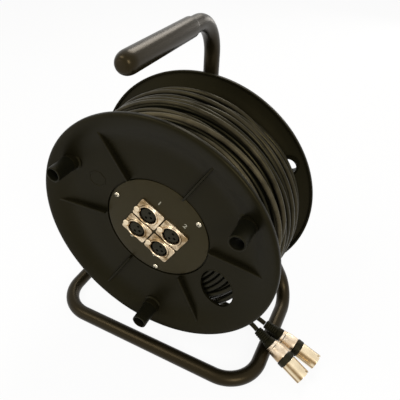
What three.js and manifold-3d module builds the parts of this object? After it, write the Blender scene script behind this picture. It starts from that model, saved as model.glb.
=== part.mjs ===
// A multicore cable drum for stage sound: a moulded two-flange drum of thin microphone cable that spins
// on a bent-tube carrying frame, with four chassis sockets in the middle of its front flange.
// Millimetres, +Z up, +Y from the socket side to the back. The floor is z = 0.
import * as THREE from 'three';
import { mergeVertices } from 'three/addons/utils/BufferGeometryUtils.js';
import Module from 'manifold-3d';

const wasm = await Module();
wasm.setup();

// Clearances and overruns
const SEAT_GAP = 0.3;
const RUNNING_GAP = 0.2;
const CUT_OVERRUN = 2;

// Frame tube
const TUBE_R = 8.5;
const TUBE_SIDES = 12;
const TUBE_FLAT = TUBE_R * Math.cos(Math.PI / TUBE_SIDES);
const BEND_STEPS = 6;
const DRUM_FLOOR_GAP = 25.5;
const BASE_HALF_WIDTH = 130.6;
const BASE_OVERHANG = 18.3;
const BASE_CORNER_R = 40;
const LEG_BEND_R = 34;
const LEG_ANGLE = 60;
const LEG_END_X = TUBE_R / 2;
const POST_CLEARANCE = 7.8;
const POST_FOOT = 30;
const HAND_ROOM = 53.9;
const ARM_BEND_R = 41;

// Hand grip
const GRIP_R = 10;
const GRIP_LENGTH = 117;
const GRIP_OVERHANG = 30;
const GRIP_CAP = 6.5;
const GRIP_SIDES = 18;

// Drum, from the front rim plane (y = 0) to the back rim plane
const FLANGE_R = 137.5;
const DRUM_WIDTH = 124;
const DRUM_REST_ANGLE = -32;
const FLANGE_WALL = 3;
const FLANGE_SEGMENTS = 32;
const DISH_DEPTH = 15.3;
const RIM_BAND = 13.5;
const RIM_DIP = 3;
const KNEE_INSET = 16;
const KNEE_Y = 10.4;
const RIM_TURN = 5.5;
const RIM_WALL = 2.6;
const RIM_ROUND = 1.4;
const PANEL_INSET = 3.5;
const PANEL_WALL = 2;
const PANEL_LIP = 1.6;
const PANEL_SINK = 0.5;
const SEAT_BORE_INSET = 14;
const BARREL_R = 64;
const BARREL_WALL = 3;
const LAND_EDGE = 2;
const SPIGOT_WALL = 2.5;
const SPIGOT_LENGTH = 6;

// Flange ribs, finger window and feet
const RIB_COUNT = 6;
const RIB_FIRST_ANGLE = 30;
const RIB_WALL = 2.8;
const RIB_HEIGHT = 6;
const RIB_INSET = 3;
const RIB_ROOT = 1;
const WINDOW_SIZE_SHARE = 0.3181;
const WINDOW_PLACE_SHARE = 0.4388;
const FOOT_COUNT = 3;
const FOOT_FIRST_ANGLE = 60;
const FOOT_INSET = 23.2;
const FOOT_R = 8.5;
const FOOT_BORE_R = 6.8;
const FOOT_REACH = 22.8;
const FOOT_SEAT_Y = 11.2;
const FOOT_COLLAR_R = 9.9;
const FOOT_COLLAR_WALL = 1.5;
const FOOT_BOSS_R = 11.1;
const FOOT_BOSS_TOP_R = 9.7;
const FOOT_BOSS_HEIGHT = 7;
const FOOT_SEGMENTS = 12;

// Panel and hub screws
const SCREW_INSET = 8.3;
const SCREW_R = 1.75;
const SCREW_HEAD_R = 2.9;
const SCREW_HEAD_HEIGHT = 1.9;
const SCREW_LENGTH = 11;
const SCREW_SEGMENTS = 8;
const SCREW_BOSS_R = 4.3;
const SCREW_BOSS_LENGTH = 11;

// Chassis sockets
const SOCKET_LENGTH = 31;
const SOCKET_WIDTH = 26;
const SOCKET_CORNER_R = 2.5;
const SOCKET_CORNER_STEPS = 2;
const SOCKET_COLUMN_SPACING = 32.5;
const SOCKET_ROW_SPACING = 28.4;
const SOCKET_GROUP_DROP = 3.7;
const SOCKET_PLATE = 2;
const SOCKET_BEZEL_R = 12;
const SOCKET_BEZEL_TOP_R = 10.9;
const SOCKET_BEZEL_HEIGHT = 1.6;
const SOCKET_MOUTH_R = 9.9;
const SOCKET_BODY_R = 11.6;
const SOCKET_DEPTH = 19;
const SOCKET_FLOOR = 2;
const SOCKET_SEGMENTS = 14;
const SOCKET_SCREW_OUT = 12;
const SOCKET_SCREW_DROP = 9.5;
const SOCKET_SCREW_HOLE_R = 1.6;
const INSERT_R = 7.8;
const INSERT_SINK = 1;
const CONTACT_PITCH_R = 4.3;
const CONTACT_HOLE_R = 1.3;
const CONTACT_HOLE_DEPTH = 8;
const CONTACT_COUNT = 3;
const LATCH_OUT = 13.2;
const LATCH_DROP = 3.4;
const LATCH_TAB_R = 3.5;
const LATCH_TAB_WALL = 1.8;
const LATCH_TRAVEL = 1.5;
const LATCH_STEM_R = 1.5;
const LATCH_STEM_LENGTH = 9;
const LATCH_NOTCH_GAP = 0.4;
const LATCH_SEGMENTS = 8;

// Hub, axle and bearings
const HUB_PLATE_R = 58;
const HUB_PLATE_WALL = 4;
const HUB_PLATE_SEGMENTS = 24;
const AXLE_R = 8;
const AXLE_COLLAR_R = 17;
const AXLE_COLLAR_WALL = 4;
const AXLE_SPIGOT_R = 6;
const AXLE_THREAD_R = 6;
const AXLE_SEGMENTS = 16;
const BEARING_PLATE_WALL = 3;
const BEARING_TUBE_R = 14;
const BEARING_ROOM = 22.4;
const BEARING_WEB_COUNT = 6;
const BEARING_WEB_WALL = 2.5;
const BEARING_WEB_INSET = 4;
const BEARING_WEB_SHARE = 0.68;
const BUSH_WALL = 2;
const BUSH_LENGTH = 12;
const BUSH_COLLAR_R = 12.5;
const BUSH_COLLAR_WALL = 2;
const WASHER_R = 15;
const WASHER_WALL = 1.5;
const SLEEVE_R = 11;
const NUT_ACROSS = 19;
const NUT_HEIGHT = 10;
const NUT_SIDES = 6;

// Cable and winding
const CABLE_R = 2.8;
const CABLE_COUNT = 2;
const WIND_LAST_GAP = 12;
const WIND_SPACING = 6.15;
const WIND_FIRST_Y = 17.1;
const WIND_LOW_SHARE = 0.725;
const WIND_FULL_SHARE = 1.01;
const WIND_SAG = 3;
const WIND_RISE_FROM = 25;
const WIND_RISE_LENGTH = 50;
const WIND_STEPS_PER_TURN = 20;
const WIND_SIDES = 6;
const WIND_START_ANGLE = -60;
const CORE_SIDE_Y = 16.5;
const RISE_SHARES = [0, 0.17, 0.33, 0.5, 1];
const TAIL_SIDES = 8;
const TAIL_STEPS = 12;
const INNER_SIDES = 6;
const INNER_STEPS = 5;
const LEAD_BEND = 12;
const LEAD_FORK_SHARE = 0.628;
const LEAD_SPREAD_SHARE = 0.7;
const BARREL_HOLE_GAP = 1.2;
const BARREL_HOLE_INSET = 36;

// Cable plugs, along their own axis from the boot to the open end
const PLUG_BOOT = 22;
const PLUG_BOOT_START_R = 3.9;
const PLUG_BOOT_END_R = 7.6;
const PLUG_SHELL = 18;
const PLUG_SHELL_END_R = 9.3;
const PLUG_RING = 7;
const PLUG_RING_R = 10;
const PLUG_BARREL = 22;
const PLUG_BARREL_R = 9.2;
const PLUG_BARREL_WALL = 1;
const PLUG_KEY_WIDTH = 3;
const PLUG_KEY_DEPTH = 3.5;
const PLUG_PIN_R = 1.2;
const PLUG_PIN_LENGTH = 13;
const PLUG_INSERT_WALL = 3;
const PLUG_SEGMENTS = 12;
const PLUG_FLOOR_GAP = 0.1;
const PLUG_HEADINGS = [-18, -9];
const PLUG_TILTS = [17.3, 13.8];
const FRONT_PLUG_REACH = 50.4;
const FRONT_PLUG_END_Y = 26;
const BACK_PLUG_REACH = 58.9;
const BACK_PLUG_END_Y = 52.3;
const TAIL_LIE_ANGLES = [-112, -106, -100, -94];
const TAIL_ROUTE_SHARES = [[0.12, 0.01], [0.35, 0.14], [0.6, 0.42], [0.83, 0.78]];

// Worked out from the sizes above
const AXIS_HEIGHT = FLANGE_R + DRUM_FLOOR_GAP;
const ARM_HEIGHT = FLANGE_R + HAND_ROOM;
const POST_Y = DRUM_WIDTH + POST_CLEARANCE + TUBE_R;
const PANEL_R = BARREL_R - PANEL_INSET;
const SEAT_BORE_R = BARREL_R - SEAT_BORE_INSET;
const SCREW_CENTRE_R = BARREL_R - SCREW_INSET;
const BEARING_WEB_REACH = SEAT_BORE_R - BEARING_WEB_INSET;
const PANEL_BACK_Y = DISH_DEPTH + PANEL_WALL;
const SEAT_Y = PANEL_BACK_Y + SEAT_GAP;
const SEAT_BACK_Y = SEAT_Y + FLANGE_WALL;
const SEAT_R = PANEL_R + 2 * SEAT_GAP;
const LIP_R = SEAT_R + PANEL_LIP;
const LIP_Y = DISH_DEPTH - PANEL_SINK;
const RIM_R = FLANGE_R - RIM_BAND;
const KNEE_R = RIM_R - KNEE_INSET;
const RIB_END_R = RIM_R - RIB_INSET;
const WINDOW_R = (RIM_R - LIP_R) * WINDOW_SIZE_SHARE;
const WINDOW_CENTRE_R = LIP_R + (RIM_R - LIP_R) * WINDOW_PLACE_SHARE;
const FOOT_CENTRE_R = FLANGE_R - FOOT_INSET;
const WIND_LOW_R = BARREL_R + (RIM_R - BARREL_R) * WIND_LOW_SHARE;
const WIND_FULL_R = BARREL_R + (RIM_R - BARREL_R) * WIND_FULL_SHARE;
const WIND_PITCH = CABLE_COUNT * WIND_SPACING;
const WIND_ROOM = DRUM_WIDTH - WIND_FIRST_Y - WIND_LAST_GAP - WIND_SPACING;
const WIND_TURNS = Math.floor((2 * WIND_ROOM) / WIND_PITCH) / 2;
const BARREL_BORE_R = BARREL_R - BARREL_WALL;
const BARREL_HOLE_Y = DRUM_WIDTH - BARREL_HOLE_INSET;
const ARM_Z = AXIS_HEIGHT + ARM_HEIGHT;
const GRIP_BACK_Y = GRIP_LENGTH - GRIP_OVERHANG;
const CENTRE_Y = (POST_Y + TUBE_FLAT - GRIP_OVERHANG) / 2;
const PLUGS = [
  { end: [BASE_HALF_WIDTH + FRONT_PLUG_REACH, FRONT_PLUG_END_Y], heading: PLUG_HEADINGS[0], tilt: PLUG_TILTS[0] },
  { end: [BASE_HALF_WIDTH + BACK_PLUG_REACH, BACK_PLUG_END_Y], heading: PLUG_HEADINGS[1], tilt: PLUG_TILTS[1] },
];

const radians = THREE.MathUtils.degToRad;

// Finishes
function finish(color, roughness, metalness) {
  return new THREE.MeshStandardMaterial({ color, roughness, metalness });
}
const BLACK_PLASTIC = finish(0x24221c, 0.55, 0);
const BLACK_TUBE = finish(0x171512, 0.3, 0.2);
const GRIP_PLASTIC = finish(0x14130f, 0.42, 0);
const CABLE_SHEATH = finish(0x35322b, 0.5, 0);
const PANEL_BLACK = finish(0x2b2922, 0.5, 0.2);
const NICKEL = finish(0xcdbb9b, 0.3, 1);
const STEEL = finish(0x9a9a96, 0.4, 1);
const BLACK_INSERT = finish(0x111110, 0.5, 0);
const BRONZE = finish(0x9a7440, 0.45, 1);
const PLUG_BLACK = finish(0x14130f, 0.5, 0);

function named(name, geometry, material) {
  const mesh = new THREE.Mesh(geometry, material);
  mesh.name = name;
  return mesh;
}

function polar(radius, degrees, y) {
  const angle = radians(degrees);
  return new THREE.Vector3(radius * Math.cos(angle), y, radius * Math.sin(angle));
}

// Joining and cutting closed shapes
function solidOf(geometry) {
  const bare = geometry.clone();
  bare.deleteAttribute('normal');
  bare.deleteAttribute('uv');
  const merged = mergeVertices(bare);
  return new wasm.Manifold(new wasm.Mesh({
    numProp: 3,
    vertProperties: Float32Array.from(merged.attributes.position.array),
    triVerts: Uint32Array.from(merged.index.array),
  }));
}

function geometryOf(solid) {
  const mesh = solid.getMesh();
  const geometry = new THREE.BufferGeometry();
  geometry.setAttribute('position', new THREE.BufferAttribute(mesh.vertProperties, 3));
  geometry.setIndex(new THREE.BufferAttribute(mesh.triVerts, 1));
  return geometry;
}

function shaped(base, added, removed) {
  let solid = solidOf(base);
  for (const geometry of added) solid = solid.add(solidOf(geometry));
  for (const geometry of removed) solid = solid.subtract(solidOf(geometry));
  return geometryOf(solid);
}

// A closed profile of [radius, height] pairs, turned about the Y axis
function turned(profile, segments) {
  const points = profile.map(([radius, height]) => new THREE.Vector2(radius, height));
  const onAxis = points[0].x === 0 && points[points.length - 1].x === 0;
  if (!onAxis) points.push(points[0].clone());
  return new THREE.LatheGeometry(points, segments);
}

// A straight round bar or cutter along Y between two heights
function roundBar(radius, fromY, toY, segments) {
  return turned([[0, fromY], [radius, fromY], [radius, toY], [0, toY]], segments);
}

function ring(outerR, innerR, fromY, toY, segments) {
  return turned([[innerR, fromY], [outerR, fromY], [outerR, toY], [innerR, toY]], segments);
}

// A tube centreline of straight runs joined by arcs, with steps only in the arcs
class BentPath extends THREE.Curve {
  constructor(corners, bendRadii, sectionUp) {
    super();
    this.stations = [{ point: corners[0], tangent: corners[1].clone().sub(corners[0]).normalize() }];
    for (let i = 1; i < corners.length - 1; i += 1) this.addBend(corners, i, bendRadii[i - 1]);
    const last = corners.length - 1;
    const end = corners[last].clone().sub(corners[last - 1]).normalize();
    this.stations.push({ point: corners[last], tangent: end });
    this.steps = this.stations.length - 1;
    this.sectionUp = sectionUp;
  }

  addBend(corners, i, radius) {
    const before = corners[i].clone().sub(corners[i - 1]).normalize();
    const after = corners[i + 1].clone().sub(corners[i]).normalize();
    const turn = before.angleTo(after);
    const inward = after.clone().addScaledVector(before, -after.dot(before)).normalize();
    const start = corners[i].clone().addScaledVector(before, -radius * Math.tan(turn / 2));
    for (let step = 0; step <= BEND_STEPS; step += 1) {
      const angle = (turn * step) / BEND_STEPS;
      const point = start.clone().addScaledVector(before, radius * Math.sin(angle));
      point.addScaledVector(inward, radius * (1 - Math.cos(angle)));
      const tangent = before.clone().multiplyScalar(Math.cos(angle));
      tangent.addScaledVector(inward, Math.sin(angle));
      this.stations.push({ point, tangent });
    }
  }

  getPointAt(share, target = new THREE.Vector3()) {
    return target.copy(this.stations[Math.round(share * this.steps)].point);
  }

  getTangentAt(share, target = new THREE.Vector3()) {
    return target.copy(this.stations[Math.round(share * this.steps)].tangent);
  }

  // Turns every section alike, so that a flat of the tube faces sectionUp halfway along
  computeFrenetFrames(segments, closed) {
    const frames = super.computeFrenetFrames(segments, closed);
    const middle = Math.floor(segments / 2);
    const up = this.sectionUp;
    const angle = Math.atan2(up.dot(frames.binormals[middle]), up.dot(frames.normals[middle]));
    for (let i = 0; i <= segments; i += 1) {
      frames.normals[i].applyAxisAngle(frames.tangents[i], angle);
      frames.binormals[i].applyAxisAngle(frames.tangents[i], angle);
    }
    return frames;
  }
}

// A regular outline with a flat facing each axis
function roundSection(radius, sides) {
  const shape = new THREE.Shape();
  for (let i = 0; i < sides; i += 1) {
    const angle = ((i + 0.5) * 2 * Math.PI) / sides;
    const x = radius * Math.cos(angle);
    const y = radius * Math.sin(angle);
    if (i === 0) shape.moveTo(x, y);
    else shape.lineTo(x, y);
  }
  shape.closePath();
  return shape;
}

function bentTube(path) {
  const shape = roundSection(TUBE_R, TUBE_SIDES);
  return new THREE.ExtrudeGeometry(shape, { steps: path.steps, extrudePath: path });
}

function cableTube(points, sides, steps) {
  const path = new THREE.CatmullRomCurve3(points, false, 'centripetal');
  return new THREE.ExtrudeGeometry(roundSection(CABLE_R, sides), { steps, extrudePath: path });
}

// Carrying frame: a base loop whose ends rise as two legs, coped against the post
function baseLoop() {
  const low = TUBE_FLAT;
  const legRise = (BASE_HALF_WIDTH - LEG_END_X) * Math.tan(radians(LEG_ANGLE));
  const side = (x, y, z) => new THREE.Vector3(x, y, z);
  const path = new BentPath([
    side(-LEG_END_X, POST_Y, low + legRise),
    side(-BASE_HALF_WIDTH, POST_Y, low),
    side(-BASE_HALF_WIDTH, -BASE_OVERHANG, low),
    side(BASE_HALF_WIDTH, -BASE_OVERHANG, low),
    side(BASE_HALF_WIDTH, POST_Y, low),
    side(LEG_END_X, POST_Y, low + legRise),
  ], [LEG_BEND_R, BASE_CORNER_R, BASE_CORNER_R, LEG_BEND_R], new THREE.Vector3(0, 0, 1));
  const cope = roundBar(TUBE_R + SEAT_GAP, 0, ARM_Z, GRIP_SIDES);
  cope.rotateX(Math.PI / 2);
  cope.translate(0, POST_Y, 0);
  return shaped(bentTube(path), [], [cope]);
}

function carryTube() {
  const path = new BentPath([
    new THREE.Vector3(0, POST_Y, AXIS_HEIGHT - POST_FOOT),
    new THREE.Vector3(0, POST_Y, ARM_Z),
    new THREE.Vector3(0, GRIP_CAP + SEAT_GAP - GRIP_OVERHANG, ARM_Z),
  ], [ARM_BEND_R], new THREE.Vector3(1, 0, 0));
  return bentTube(path);
}

// The grip is a sleeve with a domed front end, pushed over the arm
function handGrip() {
  const bore = TUBE_R + SEAT_GAP;
  const front = -GRIP_OVERHANG;
  const domeSteps = 5;
  const profile = [];
  for (let i = 0; i <= domeSteps; i += 1) {
    const angle = (i * Math.PI) / 2 / domeSteps;
    profile.push([GRIP_R * Math.sin(angle), front + GRIP_CAP * (1 - Math.cos(angle))]);
  }
  profile.push([GRIP_R, GRIP_BACK_Y - SEAT_GAP], [GRIP_R - SEAT_GAP, GRIP_BACK_Y]);
  profile.push([bore, GRIP_BACK_Y], [bore, front + GRIP_CAP], [0, front + GRIP_CAP]);
  const grip = turned(profile, GRIP_SIDES);
  grip.translate(0, 0, ARM_Z);
  return grip;
}

// Axle stack: places along Y, from the hub plate forwards
const HUB_FRONT_Y = POST_Y - TUBE_FLAT - SEAT_GAP - HUB_PLATE_WALL;
const COLLAR_FRONT_Y = HUB_FRONT_Y - SEAT_GAP - AXLE_COLLAR_WALL;
const BEARING_BACK_Y = DRUM_WIDTH - SEAT_Y + SEAT_GAP + BEARING_PLATE_WALL;
const BEARING_SEAT_Y = BEARING_BACK_Y - BEARING_PLATE_WALL;
const BEARING_FRONT_Y = DISH_DEPTH + SOCKET_DEPTH + BEARING_ROOM;
const BEARING_WEB_LENGTH = (BEARING_SEAT_Y - BEARING_FRONT_Y) * BEARING_WEB_SHARE;
const BACK_BUSH_Y = BEARING_BACK_Y + SEAT_GAP;
const BACK_WASHER_Y = BACK_BUSH_Y + BUSH_COLLAR_WALL + SEAT_GAP;
const SLEEVE_BACK_Y = COLLAR_FRONT_Y - SEAT_GAP;
const SLEEVE_FRONT_Y = BACK_WASHER_Y + WASHER_WALL + SEAT_GAP;
const FRONT_BUSH_Y = BEARING_FRONT_Y - SEAT_GAP;
const JOURNAL_FRONT_Y = FRONT_BUSH_Y - BUSH_COLLAR_WALL;
const FRONT_WASHER_Y = JOURNAL_FRONT_Y - SEAT_GAP;
const NUT_BACK_Y = FRONT_WASHER_Y - WASHER_WALL - SEAT_GAP;
const THREAD_FRONT_Y = NUT_BACK_Y - NUT_HEIGHT - AXLE_THREAD_R / 3;
const BUSH_BORE_R = AXLE_R + RUNNING_GAP;
const BUSH_R = BUSH_BORE_R + BUSH_WALL;

function hubPlate() {
  const edge = HUB_PLATE_WALL / 4;
  const front = HUB_FRONT_Y;
  const back = front + HUB_PLATE_WALL;
  return turned([
    [AXLE_SPIGOT_R + SEAT_GAP, front],
    [HUB_PLATE_R - edge, front],
    [HUB_PLATE_R, front + edge],
    [HUB_PLATE_R, back - edge],
    [HUB_PLATE_R - edge, back],
    [AXLE_SPIGOT_R + SEAT_GAP, back],
  ], HUB_PLATE_SEGMENTS);
}

function axle() {
  const collarBack = HUB_FRONT_Y - SEAT_GAP;
  const chamfer = AXLE_THREAD_R / 6;
  return turned([
    [0, THREAD_FRONT_Y],
    [AXLE_THREAD_R - chamfer, THREAD_FRONT_Y],
    [AXLE_THREAD_R, THREAD_FRONT_Y + chamfer],
    [AXLE_THREAD_R, JOURNAL_FRONT_Y],
    [AXLE_R, JOURNAL_FRONT_Y],
    [AXLE_R, COLLAR_FRONT_Y],
    [AXLE_COLLAR_R, COLLAR_FRONT_Y],
    [AXLE_COLLAR_R, collarBack],
    [AXLE_SPIGOT_R, collarBack],
    [AXLE_SPIGOT_R, HUB_FRONT_Y + HUB_PLATE_WALL],
    [0, HUB_FRONT_Y + HUB_PLATE_WALL],
  ], AXLE_SEGMENTS);
}

function lockNut() {
  const shape = new THREE.Shape();
  const cornerR = NUT_ACROSS / 2 / Math.cos(Math.PI / NUT_SIDES);
  for (let i = 0; i < NUT_SIDES; i += 1) {
    const corner = polar(cornerR, (i * 360) / NUT_SIDES, 0);
    if (i === 0) shape.moveTo(corner.x, corner.z);
    else shape.lineTo(corner.x, corner.z);
  }
  shape.closePath();
  const hole = new THREE.Path();
  hole.absarc(0, 0, AXLE_THREAD_R + SEAT_GAP, 0, 2 * Math.PI, false);
  shape.holes.push(hole);
  const nut = new THREE.ExtrudeGeometry(shape, { depth: NUT_HEIGHT, bevelEnabled: false, curveSegments: NUT_SIDES });
  nut.rotateX(Math.PI / 2);
  nut.translate(0, NUT_BACK_Y, 0);
  return nut;
}

function bush(seatY, inward) {
  const collar = seatY - inward * BUSH_COLLAR_WALL;
  const inner = seatY + inward * BUSH_LENGTH;
  const profile = [
    [BUSH_BORE_R, inner],
    [BUSH_R, inner],
    [BUSH_R, seatY],
    [BUSH_COLLAR_R, seatY],
    [BUSH_COLLAR_R, collar],
    [BUSH_BORE_R, collar],
  ];
  if (inward > 0) profile.reverse();
  return turned(profile, AXLE_SEGMENTS);
}

// The bearing hub closes the back flange as the socket panel closes the front one
function bearingHub() {
  const bore = BUSH_R + SEAT_GAP;
  const plate = turned([
    [bore, BEARING_FRONT_Y],
    [BEARING_TUBE_R, BEARING_FRONT_Y],
    [BEARING_TUBE_R, BEARING_SEAT_Y],
    [PANEL_R, BEARING_SEAT_Y],
    [PANEL_R, BEARING_BACK_Y],
    [bore, BEARING_BACK_Y],
  ], FLANGE_SEGMENTS);
  const webs = [];
  for (let i = 0; i < BEARING_WEB_COUNT; i += 1) {
    const outline = new THREE.Shape();
    outline.moveTo(BEARING_TUBE_R - RIB_ROOT, BEARING_SEAT_Y + RIB_ROOT);
    outline.lineTo(BEARING_TUBE_R - RIB_ROOT, BEARING_SEAT_Y - BEARING_WEB_LENGTH);
    outline.lineTo(BEARING_TUBE_R + RIB_ROOT, BEARING_SEAT_Y - BEARING_WEB_LENGTH);
    outline.lineTo(BEARING_WEB_REACH, BEARING_SEAT_Y - RIB_ROOT);
    outline.lineTo(BEARING_WEB_REACH, BEARING_SEAT_Y + RIB_ROOT);
    outline.closePath();
    webs.push(fin(outline, BEARING_WEB_WALL, (i * 360) / BEARING_WEB_COUNT));
  }
  return shaped(plate, webs, screwPlaces().map((place) => screwHole(place, BEARING_FRONT_Y, DRUM_WIDTH)));
}

// A flat fin drawn in radius and height, standing at an angle about the drum's axis
function fin(outline, wall, degrees) {
  const geometry = new THREE.ExtrudeGeometry(outline, { depth: wall, bevelEnabled: false });
  geometry.translate(0, 0, -wall / 2);
  geometry.rotateY(-radians(degrees));
  return geometry;
}

// Places that share the drum's threefold pattern
function footPlaces() {
  const places = [];
  for (let i = 0; i < FOOT_COUNT; i += 1) {
    places.push(polar(FOOT_CENTRE_R, FOOT_FIRST_ANGLE + (i * 360) / FOOT_COUNT, 0));
  }
  return places;
}

function screwPlaces() {
  return footPlaces().map((place) => place.multiplyScalar(SCREW_CENTRE_R / FOOT_CENTRE_R));
}

function screwHole(place, fromY, toY) {
  const cutter = roundBar(SCREW_R + SEAT_GAP, fromY - CUT_OVERRUN, toY, SCREW_SEGMENTS);
  cutter.translate(place.x, 0, place.z);
  return cutter;
}

// Front surface of the flange's dish at a radius: nearly flat out to the knee, then steep up to the rim
function dishY(radius) {
  if (radius > KNEE_R) return KNEE_Y - ((KNEE_Y - RIM_DIP) * (radius - KNEE_R)) / (RIM_R - KNEE_R);
  return LIP_Y - ((LIP_Y - KNEE_Y) * (radius - LIP_R)) / (KNEE_R - LIP_R);
}

// One moulding for both flanges: a shallow dish with a turned rim, a seat and spigot in the middle,
// six tapering ribs, a finger window, three foot bosses and three screw bosses
function flange() {
  const landR = BARREL_R + LAND_EDGE;
  const spigotR = BARREL_BORE_R - SEAT_GAP;
  const dish = turned([
    [SEAT_BORE_R, SEAT_Y],
    [SEAT_R, SEAT_Y],
    [SEAT_R, LIP_Y],
    [LIP_R, LIP_Y],
    [KNEE_R, KNEE_Y],
    [RIM_R, RIM_DIP],
    [FLANGE_R - 2 * RIM_ROUND, 0],
    [FLANGE_R, RIM_ROUND],
    [FLANGE_R, RIM_TURN],
    [FLANGE_R - RIM_WALL, RIM_TURN],
    [FLANGE_R - RIM_WALL, FLANGE_WALL],
    [RIM_R, FLANGE_WALL + RIM_DIP],
    [KNEE_R, FLANGE_WALL + KNEE_Y],
    [landR, dishY(landR) + FLANGE_WALL],
    [landR, SEAT_BACK_Y],
    [spigotR, SEAT_BACK_Y],
    [spigotR, SEAT_BACK_Y + SPIGOT_LENGTH],
    [spigotR - SPIGOT_WALL, SEAT_BACK_Y + SPIGOT_LENGTH],
    [spigotR - SPIGOT_WALL, SEAT_BACK_Y],
    [SEAT_BORE_R, SEAT_BACK_Y],
  ], FLANGE_SEGMENTS);
  const added = [];
  const removed = [];
  for (let i = 0; i < RIB_COUNT; i += 1) {
    const start = SEAT_R + SEAT_GAP;
    const outline = new THREE.Shape();
    outline.moveTo(start, LIP_Y + RIB_ROOT);
    outline.lineTo(start, LIP_Y - RIB_HEIGHT);
    outline.lineTo(RIB_END_R, dishY(RIB_END_R) + SEAT_GAP / 3);
    outline.lineTo(RIB_END_R, dishY(RIB_END_R) + RIB_ROOT);
    outline.lineTo(KNEE_R, KNEE_Y + RIB_ROOT);
    outline.closePath();
    added.push(fin(outline, RIB_WALL, RIB_FIRST_ANGLE + (i * 360) / RIB_COUNT));
  }
  for (const place of footPlaces()) {
    const base = dishY(FOOT_CENTRE_R);
    const boss = turned([
      [0, base - FOOT_BOSS_HEIGHT],
      [FOOT_BOSS_TOP_R, base - FOOT_BOSS_HEIGHT],
      [FOOT_BOSS_R, base],
      [FOOT_BOSS_R, FOOT_SEAT_Y],
      [0, FOOT_SEAT_Y],
    ], FOOT_SEGMENTS);
    boss.translate(place.x, 0, place.z);
    added.push(boss);
    const hole = roundBar(FOOT_R + SEAT_GAP, -FOOT_BOSS_HEIGHT, DISH_DEPTH, FOOT_SEGMENTS);
    hole.translate(place.x, 0, place.z);
    const seat = roundBar(FOOT_COLLAR_R + SEAT_GAP, FOOT_SEAT_Y, SEAT_BACK_Y, FOOT_SEGMENTS);
    seat.translate(place.x, 0, place.z);
    removed.push(hole, seat);
  }
  for (const place of screwPlaces()) {
    const boss = roundBar(SCREW_BOSS_R, SEAT_Y + RIB_ROOT, SEAT_BACK_Y + SCREW_BOSS_LENGTH, SCREW_SEGMENTS);
    boss.translate(place.x, 0, place.z);
    added.push(boss);
    removed.push(screwHole(place, SEAT_Y, SEAT_BACK_Y + SCREW_BOSS_LENGTH - RIB_ROOT));
  }
  const window = roundBar(WINDOW_R, -CUT_OVERRUN, SEAT_BACK_Y + CUT_OVERRUN, GRIP_SIDES);
  window.translate(WINDOW_CENTRE_R, 0, 0);
  removed.push(window);
  return shaped(dish, added, removed);
}

// A foot is a tube that comes through its flange from behind and stops with its collar in a counterbore
function foot() {
  const back = FOOT_SEAT_Y + SEAT_GAP;
  const round = FOOT_R / 8;
  return turned([
    [FOOT_BORE_R, -FOOT_REACH],
    [FOOT_R - round, -FOOT_REACH],
    [FOOT_R, round - FOOT_REACH],
    [FOOT_R, back],
    [FOOT_COLLAR_R, back],
    [FOOT_COLLAR_R, back + FOOT_COLLAR_WALL],
    [FOOT_BORE_R, back + FOOT_COLLAR_WALL],
  ], FOOT_SEGMENTS);
}

// Screws drive towards +Y, with the head at the front
function panScrew() {
  return turned([
    [0, -SCREW_HEAD_HEIGHT],
    [SCREW_HEAD_R / 2, -SCREW_HEAD_HEIGHT],
    [SCREW_HEAD_R, -SCREW_HEAD_HEIGHT / 2],
    [SCREW_HEAD_R, 0],
    [SCREW_R, 0],
    [SCREW_R, SCREW_LENGTH],
    [0, SCREW_LENGTH],
  ], SCREW_SEGMENTS);
}

// Centres of the four sockets on the panel, with the latch end towards -X
function socketPlaces() {
  const places = [];
  for (const row of [1, -1]) {
    for (const column of [-1, 1]) {
      const long = (column * SOCKET_COLUMN_SPACING) / 2;
      const short = (row * SOCKET_ROW_SPACING) / 2 - SOCKET_GROUP_DROP;
      places.push(new THREE.Vector3(long, 0, short));
    }
  }
  return places;
}

function socketPanel() {
  const disc = turned([
    [0, DISH_DEPTH],
    [PANEL_R - PANEL_WALL / 4, DISH_DEPTH],
    [PANEL_R, DISH_DEPTH + PANEL_WALL / 4],
    [PANEL_R, PANEL_BACK_Y],
    [0, PANEL_BACK_Y],
  ], FLANGE_SEGMENTS);
  const removed = screwPlaces().map((place) => screwHole(place, DISH_DEPTH, DRUM_WIDTH));
  for (const place of socketPlaces()) {
    const bodyHole = roundBar(SOCKET_BODY_R + SEAT_GAP, 0, DRUM_WIDTH, SOCKET_SEGMENTS);
    bodyHole.translate(place.x, 0, place.z);
    const stemHole = roundBar(LATCH_STEM_R + LATCH_NOTCH_GAP, 0, DRUM_WIDTH, LATCH_SEGMENTS);
    stemHole.translate(place.x - LATCH_OUT, 0, place.z - LATCH_DROP);
    removed.push(bodyHole, stemHole);
  }
  return shaped(disc, [], removed);
}

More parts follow.
